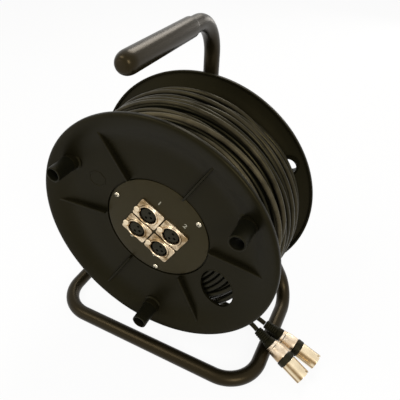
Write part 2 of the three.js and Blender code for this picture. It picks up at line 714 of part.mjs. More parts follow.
// Socket parts share one frame: y = 0 is the panel's face, and -Y comes out towards the plug
function socketShell() {
  const outline = new THREE.Shape();
  const halfLong = SOCKET_LENGTH / 2;
  const halfShort = SOCKET_WIDTH / 2;
  const inLong = halfLong - SOCKET_CORNER_R;
  const inShort = halfShort - SOCKET_CORNER_R;
  const quarter = Math.PI / 2;
  outline.absarc(inLong, inShort, SOCKET_CORNER_R, 0, quarter, false);
  outline.absarc(-inLong, inShort, SOCKET_CORNER_R, quarter, 2 * quarter, false);
  outline.absarc(-inLong, -inShort, SOCKET_CORNER_R, 2 * quarter, 3 * quarter, false);
  outline.absarc(inLong, -inShort, SOCKET_CORNER_R, 3 * quarter, 4 * quarter, false);
  outline.closePath();
  const plate = new THREE.ExtrudeGeometry(outline, { depth: SOCKET_PLATE, bevelEnabled: false, curveSegments: SOCKET_CORNER_STEPS });
  plate.rotateX(Math.PI / 2);
  plate.translate(0, -SEAT_GAP, 0);
  const face = -SEAT_GAP - SOCKET_PLATE;
  const cup = turned([
    [0, face - SOCKET_BEZEL_HEIGHT],
    [SOCKET_BEZEL_TOP_R, face - SOCKET_BEZEL_HEIGHT],
    [SOCKET_BEZEL_R, face],
    [SOCKET_BODY_R, -SEAT_GAP - SOCKET_PLATE / 2],
    [SOCKET_BODY_R, SOCKET_DEPTH],
    [0, SOCKET_DEPTH],
  ], SOCKET_SEGMENTS);
  const mouth = roundBar(SOCKET_MOUTH_R, face - 2 * SOCKET_BEZEL_HEIGHT, SOCKET_DEPTH - SOCKET_FLOOR, SOCKET_SEGMENTS);
  const notchR = LATCH_TAB_R + LATCH_NOTCH_GAP;
  const notch = roundBar(notchR, face - CUT_OVERRUN, face + LATCH_TRAVEL + LATCH_NOTCH_GAP, LATCH_SEGMENTS);
  notch.translate(-LATCH_OUT, 0, -LATCH_DROP);
  const stem = roundBar(LATCH_STEM_R + LATCH_NOTCH_GAP / 2, face - CUT_OVERRUN, 0, LATCH_SEGMENTS);
  stem.translate(-LATCH_OUT, 0, -LATCH_DROP);
  const removed = [mouth, notch, stem];
  for (const sign of [1, -1]) {
    const hole = roundBar(SOCKET_SCREW_HOLE_R, face - CUT_OVERRUN, 0, SCREW_SEGMENTS);
    hole.translate(sign * SOCKET_SCREW_OUT, 0, -sign * SOCKET_SCREW_DROP);
    removed.push(hole);
  }
  return shaped(plate, [cup], removed);
}

function socketInsert() {
  const front = -SEAT_GAP - SOCKET_PLATE - SOCKET_BEZEL_HEIGHT + INSERT_SINK;
  const back = SOCKET_DEPTH - SOCKET_FLOOR - SEAT_GAP;
  const body = turned([
    [0, front],
    [INSERT_R - SEAT_GAP, front],
    [INSERT_R, front + SEAT_GAP],
    [INSERT_R, back - SOCKET_FLOOR],
    [SOCKET_MOUTH_R - SEAT_GAP, back - SOCKET_FLOOR],
    [SOCKET_MOUTH_R - SEAT_GAP, back],
    [0, back],
  ], SOCKET_SEGMENTS);
  const holes = [];
  for (let i = 0; i < CONTACT_COUNT; i += 1) {
    const place = polar(CONTACT_PITCH_R, 90 * i - 90, 0);
    const hole = roundBar(CONTACT_HOLE_R, front - CUT_OVERRUN, front + CONTACT_HOLE_DEPTH, NUT_SIDES);
    holes.push(hole.translate(place.x, 0, place.z));
  }
  return shaped(body, [], holes);
}

function socketLatch() {
  const under = LATCH_TRAVEL - SEAT_GAP - SOCKET_PLATE - LATCH_TRAVEL;
  const top = under - LATCH_TAB_WALL;
  const edge = LATCH_TAB_WALL / 3;
  const latch = turned([
    [0, top],
    [LATCH_TAB_R - edge, top],
    [LATCH_TAB_R, top + edge],
    [LATCH_TAB_R, under],
    [LATCH_STEM_R, under],
    [LATCH_STEM_R, under + LATCH_STEM_LENGTH],
    [0, under + LATCH_STEM_LENGTH],
  ], LATCH_SEGMENTS);
  return latch.translate(-LATCH_OUT, 0, -LATCH_DROP);
}

// Winding: the turn radius grows from the front flange to a full pile at the back
function smooth(share) {
  const held = Math.min(1, Math.max(0, share));
  return held * held * (3 - 2 * held);
}

function windRise(y) {
  return smooth((y - WIND_RISE_FROM) / WIND_RISE_LENGTH);
}

function windRadius(y) {
  return WIND_LOW_R + (WIND_FULL_R - WIND_LOW_R) * windRise(y);
}

// The loose outer turns hang down a little under their own weight
function windSag(y) {
  return WIND_SAG * windRise(y);
}

function windPoint(cable, turns) {
  const y = WIND_FIRST_Y + cable * WIND_SPACING + turns * WIND_PITCH;
  const hung = polar(windSag(y), -90 - DRUM_REST_ANGLE, 0);
  return polar(windRadius(y), WIND_START_ANGLE + turns * 360, y).add(hung);
}

// One unbroken tube per cable, as rings of points round the centreline
function windTube(cable) {
  const steps = Math.round(WIND_TURNS * WIND_STEPS_PER_TURN);
  const positions = [];
  const indices = [];
  for (let step = 0; step <= steps; step += 1) {
    const centre = windPoint(cable, step / WIND_STEPS_PER_TURN);
    const outward = new THREE.Vector3(centre.x, 0, centre.z).normalize();
    for (let side = 0; side < WIND_SIDES; side += 1) {
      const angle = (side * 2 * Math.PI) / WIND_SIDES;
      const point = centre.clone().addScaledVector(outward, CABLE_R * Math.cos(angle));
      point.y += CABLE_R * Math.sin(angle);
      positions.push(point.x, point.y, point.z);
    }
  }
  const at = (step, side) => step * WIND_SIDES + (side % WIND_SIDES);
  for (let step = 0; step < steps; step += 1) {
    for (let side = 0; side < WIND_SIDES; side += 1) {
      indices.push(at(step, side), at(step + 1, side + 1), at(step + 1, side));
      indices.push(at(step, side), at(step, side + 1), at(step + 1, side + 1));
    }
  }
  for (let side = 1; side < WIND_SIDES - 1; side += 1) {
    indices.push(at(0, 0), at(0, side + 1), at(0, side));
    indices.push(at(steps, 0), at(steps, side), at(steps, side + 1));
  }
  const geometry = new THREE.BufferGeometry();
  geometry.setAttribute('position', new THREE.Float32BufferAttribute(positions, 3));
  geometry.setIndex(indices);
  return geometry;
}

// Least distance between turns, measured surface to surface on the centrelines' points
function leastWindGap() {
  const points = [];
  for (let cable = 0; cable < CABLE_COUNT; cable += 1) {
    for (let step = 0; step <= WIND_TURNS * WIND_STEPS_PER_TURN; step += 1) {
      const turns = step / WIND_STEPS_PER_TURN;
      points.push({ cable, turns, at: windPoint(cable, turns) });
    }
  }
  let least = Infinity;
  for (const a of points) {
    for (const b of points) {
      const apart = a.cable !== b.cable || Math.abs(a.turns - b.turns) > 0.5;
      if (apart) least = Math.min(least, a.at.distanceTo(b.at) - 2 * CABLE_R);
    }
  }
  return least;
}

// The inner layers are one plain core under the outer turns
function windCore() {
  const sag = WIND_FULL_R * (1 - Math.cos(Math.PI / WIND_STEPS_PER_TURN));
  const under = CABLE_R + sag + 3 * SEAT_GAP;
  const inner = BARREL_R + SEAT_GAP;
  const flankR = BARREL_R + LAND_EDGE + 2 * SEAT_GAP;
  const flankY = dishY(BARREL_R) + FLANGE_WALL + SEAT_GAP;
  const profile = [[inner, SEAT_BACK_Y + SEAT_GAP], [flankR, SEAT_BACK_Y + SEAT_GAP], [flankR, flankY]];
  const heights = RISE_SHARES.map((share) => WIND_RISE_FROM + share * WIND_RISE_LENGTH);
  for (const y of [CORE_SIDE_Y, ...heights, DRUM_WIDTH - CORE_SIDE_Y]) {
    profile.push([windRadius(y) - windSag(y) - under, y]);
  }
  profile.push([flankR, DRUM_WIDTH - flankY]);
  profile.push([flankR, DRUM_WIDTH - SEAT_BACK_Y - SEAT_GAP]);
  profile.push([inner, DRUM_WIDTH - SEAT_BACK_Y - SEAT_GAP]);
  return turned(profile, FLANGE_SEGMENTS);
}

function drumBarrel() {
  const front = SEAT_BACK_Y + SEAT_GAP;
  const tube = ring(BARREL_R, BARREL_BORE_R, front, DRUM_WIDTH - front, FLANGE_SEGMENTS);
  const holes = roundBar(CABLE_R + BARREL_HOLE_GAP, -BARREL_R - CUT_OVERRUN, BARREL_R + CUT_OVERRUN, TAIL_SIDES);
  holes.rotateX(Math.PI / 2);
  holes.translate(0, BARREL_HOLE_Y, 0);
  return shaped(tube, [], [holes]);
}

// A lead comes in through its hole in the barrel and forks to the two sockets of its row
function innerLead(row) {
  const side = Math.sign(row.z + SOCKET_GROUP_DROP);
  const back = DISH_DEPTH + SOCKET_DEPTH + SEAT_GAP;
  const half = SOCKET_COLUMN_SPACING / 2;
  const turnR = BARREL_BORE_R - LEAD_BEND;
  const forkRise = (BARREL_HOLE_Y - LEAD_BEND - back) * LEAD_FORK_SHARE;
  const fork = new THREE.Vector3(0, back + forkRise, side * (turnR - CABLE_R));
  const trunk = cableTube([
    new THREE.Vector3(0, BARREL_HOLE_Y, side * (BARREL_R - SEAT_GAP)),
    new THREE.Vector3(0, BARREL_HOLE_Y, side * BARREL_BORE_R),
    new THREE.Vector3(0, BARREL_HOLE_Y - CABLE_R, side * turnR),
    new THREE.Vector3(0, BARREL_HOLE_Y - LEAD_BEND, side * (turnR - CABLE_R)),
    fork,
  ], INNER_SIDES, INNER_STEPS);
  const branches = [1, -1].map((sign) => cableTube([
    fork.clone().add(new THREE.Vector3(0, CABLE_R, 0)),
    fork,
    new THREE.Vector3(sign * half * LEAD_SPREAD_SHARE, back + forkRise / 2, (fork.z + row.z) / 2),
    new THREE.Vector3(sign * half, back + CABLE_R, row.z),
    new THREE.Vector3(sign * half, back, row.z),
  ], INNER_SIDES, INNER_STEPS));
  return shaped(trunk, branches, []);
}

// Plug parts lie along +Y in the plug's own frame, with y = 0 at the cable end of the boot
const SHELL_Y = PLUG_BOOT + SEAT_GAP;
const RING_Y = SHELL_Y + PLUG_SHELL + SEAT_GAP;
const BARREL_Y = RING_Y + PLUG_RING + SEAT_GAP;
const PLUG_LENGTH = BARREL_Y + PLUG_BARREL;

function plugBoot() {
  const lip = PLUG_BOOT_START_R / 3;
  return turned([
    [0, 0],
    [PLUG_BOOT_START_R, 0],
    [PLUG_BOOT_START_R, lip],
    [PLUG_BOOT_END_R, PLUG_BOOT - lip],
    [PLUG_BOOT_END_R, PLUG_BOOT],
    [0, PLUG_BOOT],
  ], PLUG_SEGMENTS);
}

function plugShell() {
  const waist = (PLUG_BOOT_END_R + PLUG_SHELL_END_R) / 2;
  return turned([
    [0, SHELL_Y],
    [PLUG_BOOT_END_R, SHELL_Y],
    [PLUG_BOOT_END_R, SHELL_Y + PLUG_SHELL / 6],
    [waist + SEAT_GAP, SHELL_Y + PLUG_SHELL / 2],
    [PLUG_SHELL_END_R, RING_Y - SEAT_GAP],
    [0, RING_Y - SEAT_GAP],
  ], PLUG_SEGMENTS);
}

function plugRing() {
  const edge = PLUG_RING / 10;
  return turned([
    [0, RING_Y],
    [PLUG_RING_R - edge, RING_Y],
    [PLUG_RING_R, RING_Y + edge],
    [PLUG_RING_R, BARREL_Y - SEAT_GAP - edge],
    [PLUG_RING_R - edge, BARREL_Y - SEAT_GAP],
    [0, BARREL_Y - SEAT_GAP],
  ], PLUG_SEGMENTS);
}

function plugBarrel() {
  const bore = PLUG_BARREL_R - PLUG_BARREL_WALL;
  const cup = turned([
    [0, BARREL_Y],
    [PLUG_BARREL_R, BARREL_Y],
    [PLUG_BARREL_R, PLUG_LENGTH],
    [bore, PLUG_LENGTH],
    [bore, BARREL_Y + PLUG_BARREL_WALL],
    [0, BARREL_Y + PLUG_BARREL_WALL],
  ], PLUG_SEGMENTS);
  const key = new THREE.BoxGeometry(PLUG_KEY_WIDTH, 2 * PLUG_KEY_DEPTH, PLUG_BARREL_R);
  key.translate(0, PLUG_LENGTH, PLUG_BARREL_R);
  return shaped(cup, [], [key]);
}

function plugInsert() {
  const back = BARREL_Y + PLUG_BARREL_WALL + SEAT_GAP;
  const disc = roundBar(PLUG_BARREL_R - PLUG_BARREL_WALL - SEAT_GAP, back, back + PLUG_INSERT_WALL, PLUG_SEGMENTS);
  const pins = [];
  for (let i = 0; i < CONTACT_COUNT; i += 1) {
    const place = polar(CONTACT_PITCH_R, 90 * i - 90, 0);
    const tip = back + PLUG_INSERT_WALL + PLUG_PIN_LENGTH;
    const pin = turned([
      [0, back + RIB_ROOT],
      [PLUG_PIN_R, back + RIB_ROOT],
      [PLUG_PIN_R, tip - PLUG_PIN_R],
      [PLUG_PIN_R / 2, tip],
      [0, tip],
    ], NUT_SIDES);
    pins.push(pin.translate(place.x, 0, place.z));
  }
  return shaped(disc, pins, []);
}

// Where a plug lies: its open end on the floor and its boot on the base tube
function plugPose(plug) {
  const tilt = radians(plug.tilt);
  const heading = radians(plug.heading);
  const flat = Math.cos(tilt);
  const direction = new THREE.Vector3(flat * Math.cos(heading), flat * Math.sin(heading), -Math.sin(tilt));
  const endZ = PLUG_BARREL_R * flat + PLUG_FLOOR_GAP;
  const end = new THREE.Vector3(...plug.end, endZ);
  return { direction, start: end.clone().addScaledVector(direction, -PLUG_LENGTH) };
}

function plugGroup(number, plug) {
  const pose = plugPose(plug);
  const group = new THREE.Group();
  group.position.copy(pose.start);
  group.quaternion.setFromUnitVectors(new THREE.Vector3(0, 1, 0), pose.direction);
  group.add(named(`plug_${number}_boot`, plugBoot(), PLUG_BLACK));
  group.add(named(`plug_${number}_shell`, plugShell(), NICKEL));
  group.add(named(`plug_${number}_ring`, plugRing(), PLUG_BLACK));
  group.add(named(`plug_${number}_barrel`, plugBarrel(), NICKEL));
  group.add(named(`plug_${number}_insert`, plugInsert(), BLACK_INSERT));
  return group;
}

// Radius at which a still cable lies clear of every turn that passes it as the drum spins
function lieRadius(y) {
  const reach = 2 * CABLE_R + SEAT_GAP;
  const steps = 12;
  let radius = 0;
  for (let i = -steps; i <= steps; i += 1) {
    const offset = (reach * i) / steps;
    const low = windRadius(y + offset) + windSag(y + offset);
    radius = Math.max(radius, low + Math.sqrt(reach * reach - offset * offset));
  }
  return radius;
}

// A tail lies under the winding and runs out between the flanges to its plug
function cableTail(plug) {
  const pose = plugPose(plug);
  const end = pose.start.clone().addScaledVector(pose.direction, -SEAT_GAP);
  const before = end.clone().addScaledVector(pose.direction, -PLUG_BOOT / 2);
  const lieY = before.y;
  const lieR = lieRadius(lieY);
  const under = (degrees) => polar(lieR, degrees, lieY).add(new THREE.Vector3(0, 0, AXIS_HEIGHT));
  const lieZ = AXIS_HEIGHT - lieR;
  const drop = lieZ - before.z;
  const points = TAIL_LIE_ANGLES.map(under);
  for (const [along, down] of TAIL_ROUTE_SHARES) {
    points.push(new THREE.Vector3(before.x * along, lieY, lieZ - drop * down));
  }
  points.push(before, end);
  return cableTube(points, TAIL_SIDES, TAIL_STEPS);
}

// Assembly
const drum = new THREE.Group();
drum.position.z = AXIS_HEIGHT;
drum.rotation.y = -radians(DRUM_REST_ANGLE);

const flangeGeometry = flange();
drum.add(named('front_flange', flangeGeometry, BLACK_PLASTIC));
const backTurn = new THREE.Group();
backTurn.position.y = DRUM_WIDTH;
backTurn.rotation.y = -radians(FOOT_FIRST_ANGLE);
const backFlange = named('rear_flange', flangeGeometry, BLACK_PLASTIC);
backFlange.rotation.z = Math.PI;
backTurn.add(backFlange);
drum.add(backTurn);
drum.add(named('drum_barrel', drumBarrel(), BLACK_PLASTIC));
drum.add(named('winding_core', windCore(), CABLE_SHEATH));
for (let cable = 0; cable < CABLE_COUNT; cable += 1) {
  drum.add(named(`cable_${cable + 1}_winding`, windTube(cable), CABLE_SHEATH));
}
const socketRows = [socketPlaces()[0], socketPlaces()[2]];
socketRows.forEach((row, index) => {
  drum.add(named(`inner_lead_${index + 1}`, innerLead(row), CABLE_SHEATH));
});
drum.add(named('bearing_hub', bearingHub(), BLACK_PLASTIC));
drum.add(named('front_bush', bush(FRONT_BUSH_Y, 1), BRONZE));
drum.add(named('rear_bush', bush(BACK_BUSH_Y, -1), BRONZE));
drum.add(named('socket_panel', socketPanel(), PANEL_BLACK));

footPlaces().forEach((place, index) => {
  const mesh = named(`foot_${index + 1}`, foot(), BLACK_PLASTIC);
  mesh.position.copy(place);
  drum.add(mesh);
});

const screwGeometry = panScrew();
screwPlaces().forEach((place, index) => {
  const mesh = named(`panel_screw_${index + 1}`, screwGeometry, NICKEL);
  mesh.position.set(place.x, DISH_DEPTH - SEAT_GAP, place.z);
  drum.add(mesh);
  const hubScrew = named(`hub_screw_${index + 1}`, screwGeometry, STEEL);
  hubScrew.position.set(place.x, BEARING_BACK_Y + SEAT_GAP, place.z);
  hubScrew.rotation.z = Math.PI;
  drum.add(hubScrew);
});

socketPlaces().forEach((place, index) => {
  const socket = new THREE.Group();
  socket.position.set(place.x, DISH_DEPTH, place.z);
  socket.add(named(`socket_${index + 1}_shell`, socketShell(), NICKEL));
  socket.add(named(`socket_${index + 1}_insert`, socketInsert(), BLACK_INSERT));
  socket.add(named(`socket_${index + 1}_latch`, socketLatch(), NICKEL));
  drum.add(socket);
});

const hub = new THREE.Group();
hub.position.z = AXIS_HEIGHT;
hub.add(named('hub_plate', hubPlate(), BLACK_TUBE));
hub.add(named('axle', axle(), STEEL));
const sleeve = ring(SLEEVE_R, AXLE_R + SEAT_GAP, SLEEVE_FRONT_Y, SLEEVE_BACK_Y, AXLE_SEGMENTS);
hub.add(named('spacer_sleeve', sleeve, STEEL));
const backWasher = ring(WASHER_R, AXLE_R + SEAT_GAP, BACK_WASHER_Y, BACK_WASHER_Y + WASHER_WALL, AXLE_SEGMENTS);
hub.add(named('rear_washer', backWasher, STEEL));
const frontWasher = ring(WASHER_R, AXLE_THREAD_R + SEAT_GAP, FRONT_WASHER_Y - WASHER_WALL, FRONT_WASHER_Y, AXLE_SEGMENTS);
hub.add(named('front_washer', frontWasher, STEEL));
hub.add(named('lock_nut', lockNut(), STEEL));

const cableDrum = new THREE.Group();
cableDrum.position.y = -CENTRE_Y;
cableDrum.add(named('base_loop', baseLoop(), BLACK_TUBE));
cableDrum.add(named('carry_tube', carryTube(), BLACK_TUBE));
cableDrum.add(named('hand_grip', handGrip(), GRIP_PLASTIC));
cableDrum.add(hub);
cableDrum.add(drum);
PLUGS.forEach((plug, index) => {
  cableDrum.add(plugGroup(index + 1, plug));
  cableDrum.add(named(`cable_${index + 1}_tail`, cableTail(plug), CABLE_SHEATH));
});

console.log(`least gap between the cable's turns: ${leastWindGap().toFixed(2)} mm`);

export default cableDrum;
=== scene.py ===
# %% [markdown]
# # Dressing a multicore cable drum
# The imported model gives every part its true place. This lesson gives those parts their looks: smooth
# turned plastic, bent powder-coated tube, a pile of thin cable laid turn on turn, and small nickel
# connectors.

# %% Load the frame
import math

import bmesh
import bpy
import numpy as np
from mathutils import Matrix, Vector


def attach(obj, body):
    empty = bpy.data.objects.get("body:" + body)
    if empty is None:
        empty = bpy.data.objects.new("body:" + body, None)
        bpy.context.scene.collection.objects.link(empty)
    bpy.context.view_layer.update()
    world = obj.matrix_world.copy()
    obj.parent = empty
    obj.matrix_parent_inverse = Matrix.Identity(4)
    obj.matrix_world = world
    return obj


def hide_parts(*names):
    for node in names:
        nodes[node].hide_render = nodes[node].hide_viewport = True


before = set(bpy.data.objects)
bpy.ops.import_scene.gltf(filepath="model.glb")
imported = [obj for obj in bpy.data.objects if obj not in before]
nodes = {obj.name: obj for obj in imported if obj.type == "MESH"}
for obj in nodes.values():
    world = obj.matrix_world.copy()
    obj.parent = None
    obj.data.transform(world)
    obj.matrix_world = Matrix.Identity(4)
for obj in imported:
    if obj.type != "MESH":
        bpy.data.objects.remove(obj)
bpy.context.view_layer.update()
print("CAD nodes:", len(nodes))

# %% [markdown]
# ## Sizes
# Everything is drawn in millimetres with the drum's own axis along Y, and a place matrix carries it to
# metres in the shared frame. The sizes repeat those of the CAD source, so that new pieces land on the
# solids they stand for.

# %% Sizes shared with the CAD source, in millimetres
MM = 0.001
SEAT_GAP = 0.3
TUBE_R = 8.5
AXIS_HEIGHT = 163
FLANGE_R = 137.5
DRUM_WIDTH = 124
DRUM_REST_ANGLE = -32
GRIP_OVERHANG = 30
POST_CLEARANCE = 7.8
CAD_TUBE_SIDES = 12
POST_Y = DRUM_WIDTH + POST_CLEARANCE + TUBE_R
TUBE_FLAT = TUBE_R * math.cos(math.pi / CAD_TUBE_SIDES)
CENTRE_Y = (POST_Y + TUBE_FLAT - GRIP_OVERHANG) / 2
WIND_LOW_R = 107.5
WIND_FULL_R = 124.6
WIND_SAG = 3
WIND_FRONT_Y = 17.1
WIND_BACK_Y = 109.4
WIND_RISE_FROM = 25
WIND_RISE_LENGTH = 50

# %% Places
FRAME_PLACE = Matrix.Scale(MM, 4) @ Matrix.Translation((0, -CENTRE_Y, 0))
HUB_PLACE = FRAME_PLACE @ Matrix.Translation((0, 0, AXIS_HEIGHT))
DRUM_PLACE = HUB_PLACE @ Matrix.Rotation(-math.radians(DRUM_REST_ANGLE), 4, "Y")
FOOT_PATTERN_TURN = 60
REAR_PLACE = (
    DRUM_PLACE
    @ Matrix.Translation((0, DRUM_WIDTH, 0))
    @ Matrix.Rotation(-math.radians(FOOT_PATTERN_TURN), 4, "Y")
    @ Matrix.Rotation(math.pi, 4, "Z")
)


def polar(radius, degrees, y=0.0):
    """A point at an angle from X towards Z, about the drum's axis."""
    angle = math.radians(degrees)
    return Vector((radius * math.cos(angle), y, radius * math.sin(angle)))


# %% [markdown]
# ## Camera
# The photograph looks down on the socket side from the right. Its frame was cut from a larger picture, so
# the camera keeps a small shift. Its place was fitted to the outlines of both flanges and is given in
# flange radii. A 39.5 mm lens on a 36 mm sensor gives the same perspective.

# %% Camera
bpy.context.scene.view_settings.view_transform = "Standard"
CAMERA_FROM_HUB = Vector((1.3192, -2.1092, 2.2188)) * FLANGE_R
TARGET_FROM_HUB = Vector((0.182, 0, 0.491)) * FLANGE_R
camera_data = bpy.data.cameras.new("camera")
camera_data.lens = 39.49
camera_data.sensor_width = 36
camera_data.shift_x = 0.0745
camera_data.shift_y = -0.0211
camera_data.clip_start = 0.01
camera_data.clip_end = 20
camera = bpy.data.objects.new("camera", camera_data)
camera.location = HUB_PLACE @ CAMERA_FROM_HUB
camera.rotation_mode = "QUATERNION"
camera.rotation_quaternion = (TARGET_FROM_HUB - CAMERA_FROM_HUB).to_track_quat("-Z", "Y")
bpy.context.scene.collection.objects.link(camera)
bpy.context.scene.camera = camera
print("camera from the hub in mm:", [round(c) for c in CAMERA_FROM_HUB])

# %% [markdown]
# ## Shader maths
# A finish is a sum of slow clouds and fine grain. It could be drawn as a wall of nodes, but a sum is
# easier to read. This class wraps one socket, so that an expression on values adds its Math nodes by
# itself.


# %% Shader class
MIX_FACTOR, MIX_DARK, MIX_PALE = 0, 6, 7
MIX_COLOUR = 2


class Shader:
    """Builds one material, or the world. node() adds any node: its type, its settings, then its sockets."""

    def __init__(self, name, owners=bpy.data.materials, end="ShaderNodeOutputMaterial"):
        self.material = owners.new(name)
        self.material.use_nodes = True
        self.tree = self.material.node_tree
        self.tree.nodes.clear()
        self.out = self.tree.nodes.new(end)

    def node(self, kind, settings=None, sockets=None, output=0):
        made = self.tree.nodes.new(kind)
        for key, value in (settings or {}).items():
            setattr(made, key, value)
        for key, value in (sockets or {}).items():
            if isinstance(value, Value):
                self.tree.links.new(value.socket, made.inputs[key])
            else:
                made.inputs[key].default_value = value
        return Value(self, made.outputs[output])

    def place(self):
        return self.node("ShaderNodeTexCoord", output="Object")

    def noise(self, scale, detail, roughness=0.55):
        sockets = {"Vector": self.place(), "Scale": scale, "Detail": detail, "Roughness": roughness}
        return self.node("ShaderNodeTexNoise", None, sockets)

    def axis(self, index):
        """One coordinate of the object's own space, in metres."""
        return self.node("ShaderNodeSeparateXYZ", None, {"Vector": self.place()}, output=index)

    def blend(self, factor, dark, pale):
        """A colour between two paint chips."""
        sockets = {MIX_FACTOR: factor, MIX_DARK: linear(dark), MIX_PALE: linear(pale)}
        return self.node("ShaderNodeMix", {"data_type": "RGBA"}, sockets, output=MIX_COLOUR)

    def seen(self):
        """1 for the camera's straight look and for a glossy reflection, 0 for light that falls on things."""
        straight = self.node("ShaderNodeLightPath", output="Is Camera Ray")
        return straight + self.node("ShaderNodeLightPath", output="Is Glossy Ray")

    def bump(self, height, strength, distance):
        sockets = {"Height": height, "Strength": strength, "Distance": distance}
        return self.node("ShaderNodeBump", None, sockets)

    def finish(self, made):
        self.tree.links.new(made.socket, self.out.inputs[0])
        return self.material

    def surface(self, **sockets):
        named = {key.replace("_", " "): value for key, value in sockets.items()}
        return self.finish(self.node("ShaderNodeBsdfPrincipled", None, named))


class Value:
    """One output socket, with the operators that turn sums on it into Math nodes."""

    def __init__(self, shader, socket):
        self.shader = shader
        self.socket = socket

    def maths(self, operation, first, second, clamp=False):
        settings = {"operation": operation, "use_clamp": clamp}
        return self.shader.node("ShaderNodeMath", settings, {0: first, 1: second})

    def __add__(self, other):
        return self.maths("ADD", self, other)

    def __radd__(self, other):
        return self.maths("ADD", other, self)

    def __sub__(self, other):
        return self.maths("SUBTRACT", self, other)

    def __rsub__(self, other):
        return self.maths("SUBTRACT", other, self)

    def __mul__(self, other):
        return self.maths("MULTIPLY", self, other)

    def __rmul__(self, other):
        return self.maths("MULTIPLY", other, self)

    def clamped(self):
        return self.maths("ADD", self, 0.0, clamp=True)

    def root(self):
        return self.maths("POWER", self, 0.5)

    def wave(self):
        return self.maths("SINE", self, 0.0)


def linear(chip):
    """A colour as a paint chip gives it, red, green and blue from 0 to 255, for a shader socket."""
    shares = [channel / 255 for channel in chip]
    powered = [s / 12.92 if s <= 0.04045 else ((s + 0.055) / 1.055) ** 2.4 for s in shares]
    return (*powered, 1)


# %% [markdown]
# ## Finishes
# Black is never one flat value here. Moulded plastic has fine grain and clouds of paler, drier surface,
# powder coat and the grip are smoother and glossier, and cable sheath picks up dust. On the wound pile
# the sheath is painted paler on the outer sides of the front top turns, partly dust and partly painted
# light, and darker under them and towards the back, as painted shade. A painted texture would need every
# piece unwrapped, so noise on the object's own coordinates is used instead.


# %% Moulded and coated blacks
WARM_SHEEN = (1, 0.85, 0.42, 1)
COAT_SHEEN = (1, 0.76, 0.42, 1)
GRAIN_DEPTH = 0.0003


def moulded_plastic(name, dark, pale, roughness, grain, gloss):
    shader = Shader(name)
    clouds = shader.noise(14, 4)
    scuffs = shader.noise(90, 6, 0.7)
    pale_share = (clouds * 0.7 + scuffs * 0.5 - 0.35).clamped()
    colour = shader.blend(pale_share, dark, pale)
    fine = shader.noise(1400, 2)
    return shader.surface(
        Base_Color=colour,
        Roughness=pale_share * 0.16 + roughness,
        Specular_IOR_Level=gloss,
        Specular_Tint=WARM_SHEEN,
        Normal=shader.bump(fine + clouds * 0.4, grain, GRAIN_DEPTH),
    )


def smooth_coat(name, dark, pale, roughness, gloss):
    shader = Shader(name)
    clouds = shader.noise(18, 4)
    return shader.surface(
        Base_Color=shader.blend(clouds, dark, pale),
        Roughness=clouds * 0.08 + roughness,
        Specular_IOR_Level=gloss,
        Specular_Tint=COAT_SHEEN,
    )


PAINTED_LIGHT_FROM_R = WIND_LOW_R + 0.3
PAINTED_LIGHT_FADE = 0.36
REAR_PAINTED_SHADE = 0.8


def pile_crowns(shader):
    """Painted light and shade: 1 on the outer side of the front top turns, less on the rear ones, 0 under
    them.
    """
    x, y, z = (shader.axis(index) * (1 / MM) for index in range(3))
    share = ((y + (CENTRE_Y - WIND_RISE_FROM)) * (1 / WIND_RISE_LENGTH)).clamped()
    rise = share * share * (3 - share * 2)
    low = z - AXIS_HEIGHT + rise * WIND_SAG
    reach = (x * x + low * low).root() - rise * (WIND_FULL_R - WIND_LOW_R)
    return ((reach - PAINTED_LIGHT_FROM_R) * PAINTED_LIGHT_FADE).clamped() * (1 - rise * REAR_PAINTED_SHADE)


def cable_sheath(name, dark, pale, wound):
    shader = Shader(name)
    dust = shader.noise(55, 5, 0.65)
    fine = shader.noise(900, 3)
    pale_share = (dust * 1.2 - 0.2).clamped()
    # On the pile the dusty pale share is also painted light on the outer sides of the top turns, and painted
    # shade under them and at the back.
    if wound:
        pale_share = pale_share * pile_crowns(shader)
    return shader.surface(
        Base_Color=shader.blend(pale_share, dark, pale),
        Roughness=pale_share * 0.15 + 0.36,
        Specular_IOR_Level=0.17,
        Specular_Tint=WARM_SHEEN,
        Normal=shader.bump(fine, 0.15, GRAIN_DEPTH),
    )


DRUM_PLASTIC = moulded_plastic("drum_plastic", (13, 12, 6), (25, 22, 11), 0.36, grain=0.2, gloss=0.11)
FOOT_PLASTIC = moulded_plastic("foot_plastic", (11, 11, 7), (19, 19, 11), 0.4, grain=0.3, gloss=0.12)
BOOT_RUBBER = moulded_plastic("boot_rubber", (16, 16, 10), (26, 25, 16), 0.5, grain=0.3, gloss=0.12)
INSERT_PLASTIC = moulded_plastic("insert_plastic", (22, 22, 18), (34, 33, 27), 0.4, grain=0.2, gloss=0.16)
PANEL_PAINT = moulded_plastic("panel_paint", (36, 32, 20), (49, 44, 28), 0.4, grain=0.2, gloss=0.15)
GRIP_PLASTIC = smooth_coat("grip_plastic", (18, 15, 7), (26, 22, 11), 0.25, gloss=0.22)
TUBE_COAT = smooth_coat("tube_coat", (14, 12, 6), (25, 21, 11), 0.3, gloss=0.22)
# The wound sheath's pale chip is partly dust and partly painted light on the outer sides of the front top
# turns.
WOUND_SHEATH = cable_sheath("wound_sheath", (11, 11, 7), (134, 124, 98), wound=True)
TAIL_SHEATH = cable_sheath("tail_sheath", (14, 13, 8), (26, 24, 16), wound=False)


# %% Metals
REFLECTION_BAND_TURN = 1.0
REFLECTION_BAND_START = -1.1
REFLECTION_BAND_CONTRAST = 0.42
PLAIN_MOTTLING = 2.4
BRUSH_DEPTH = 0.0002


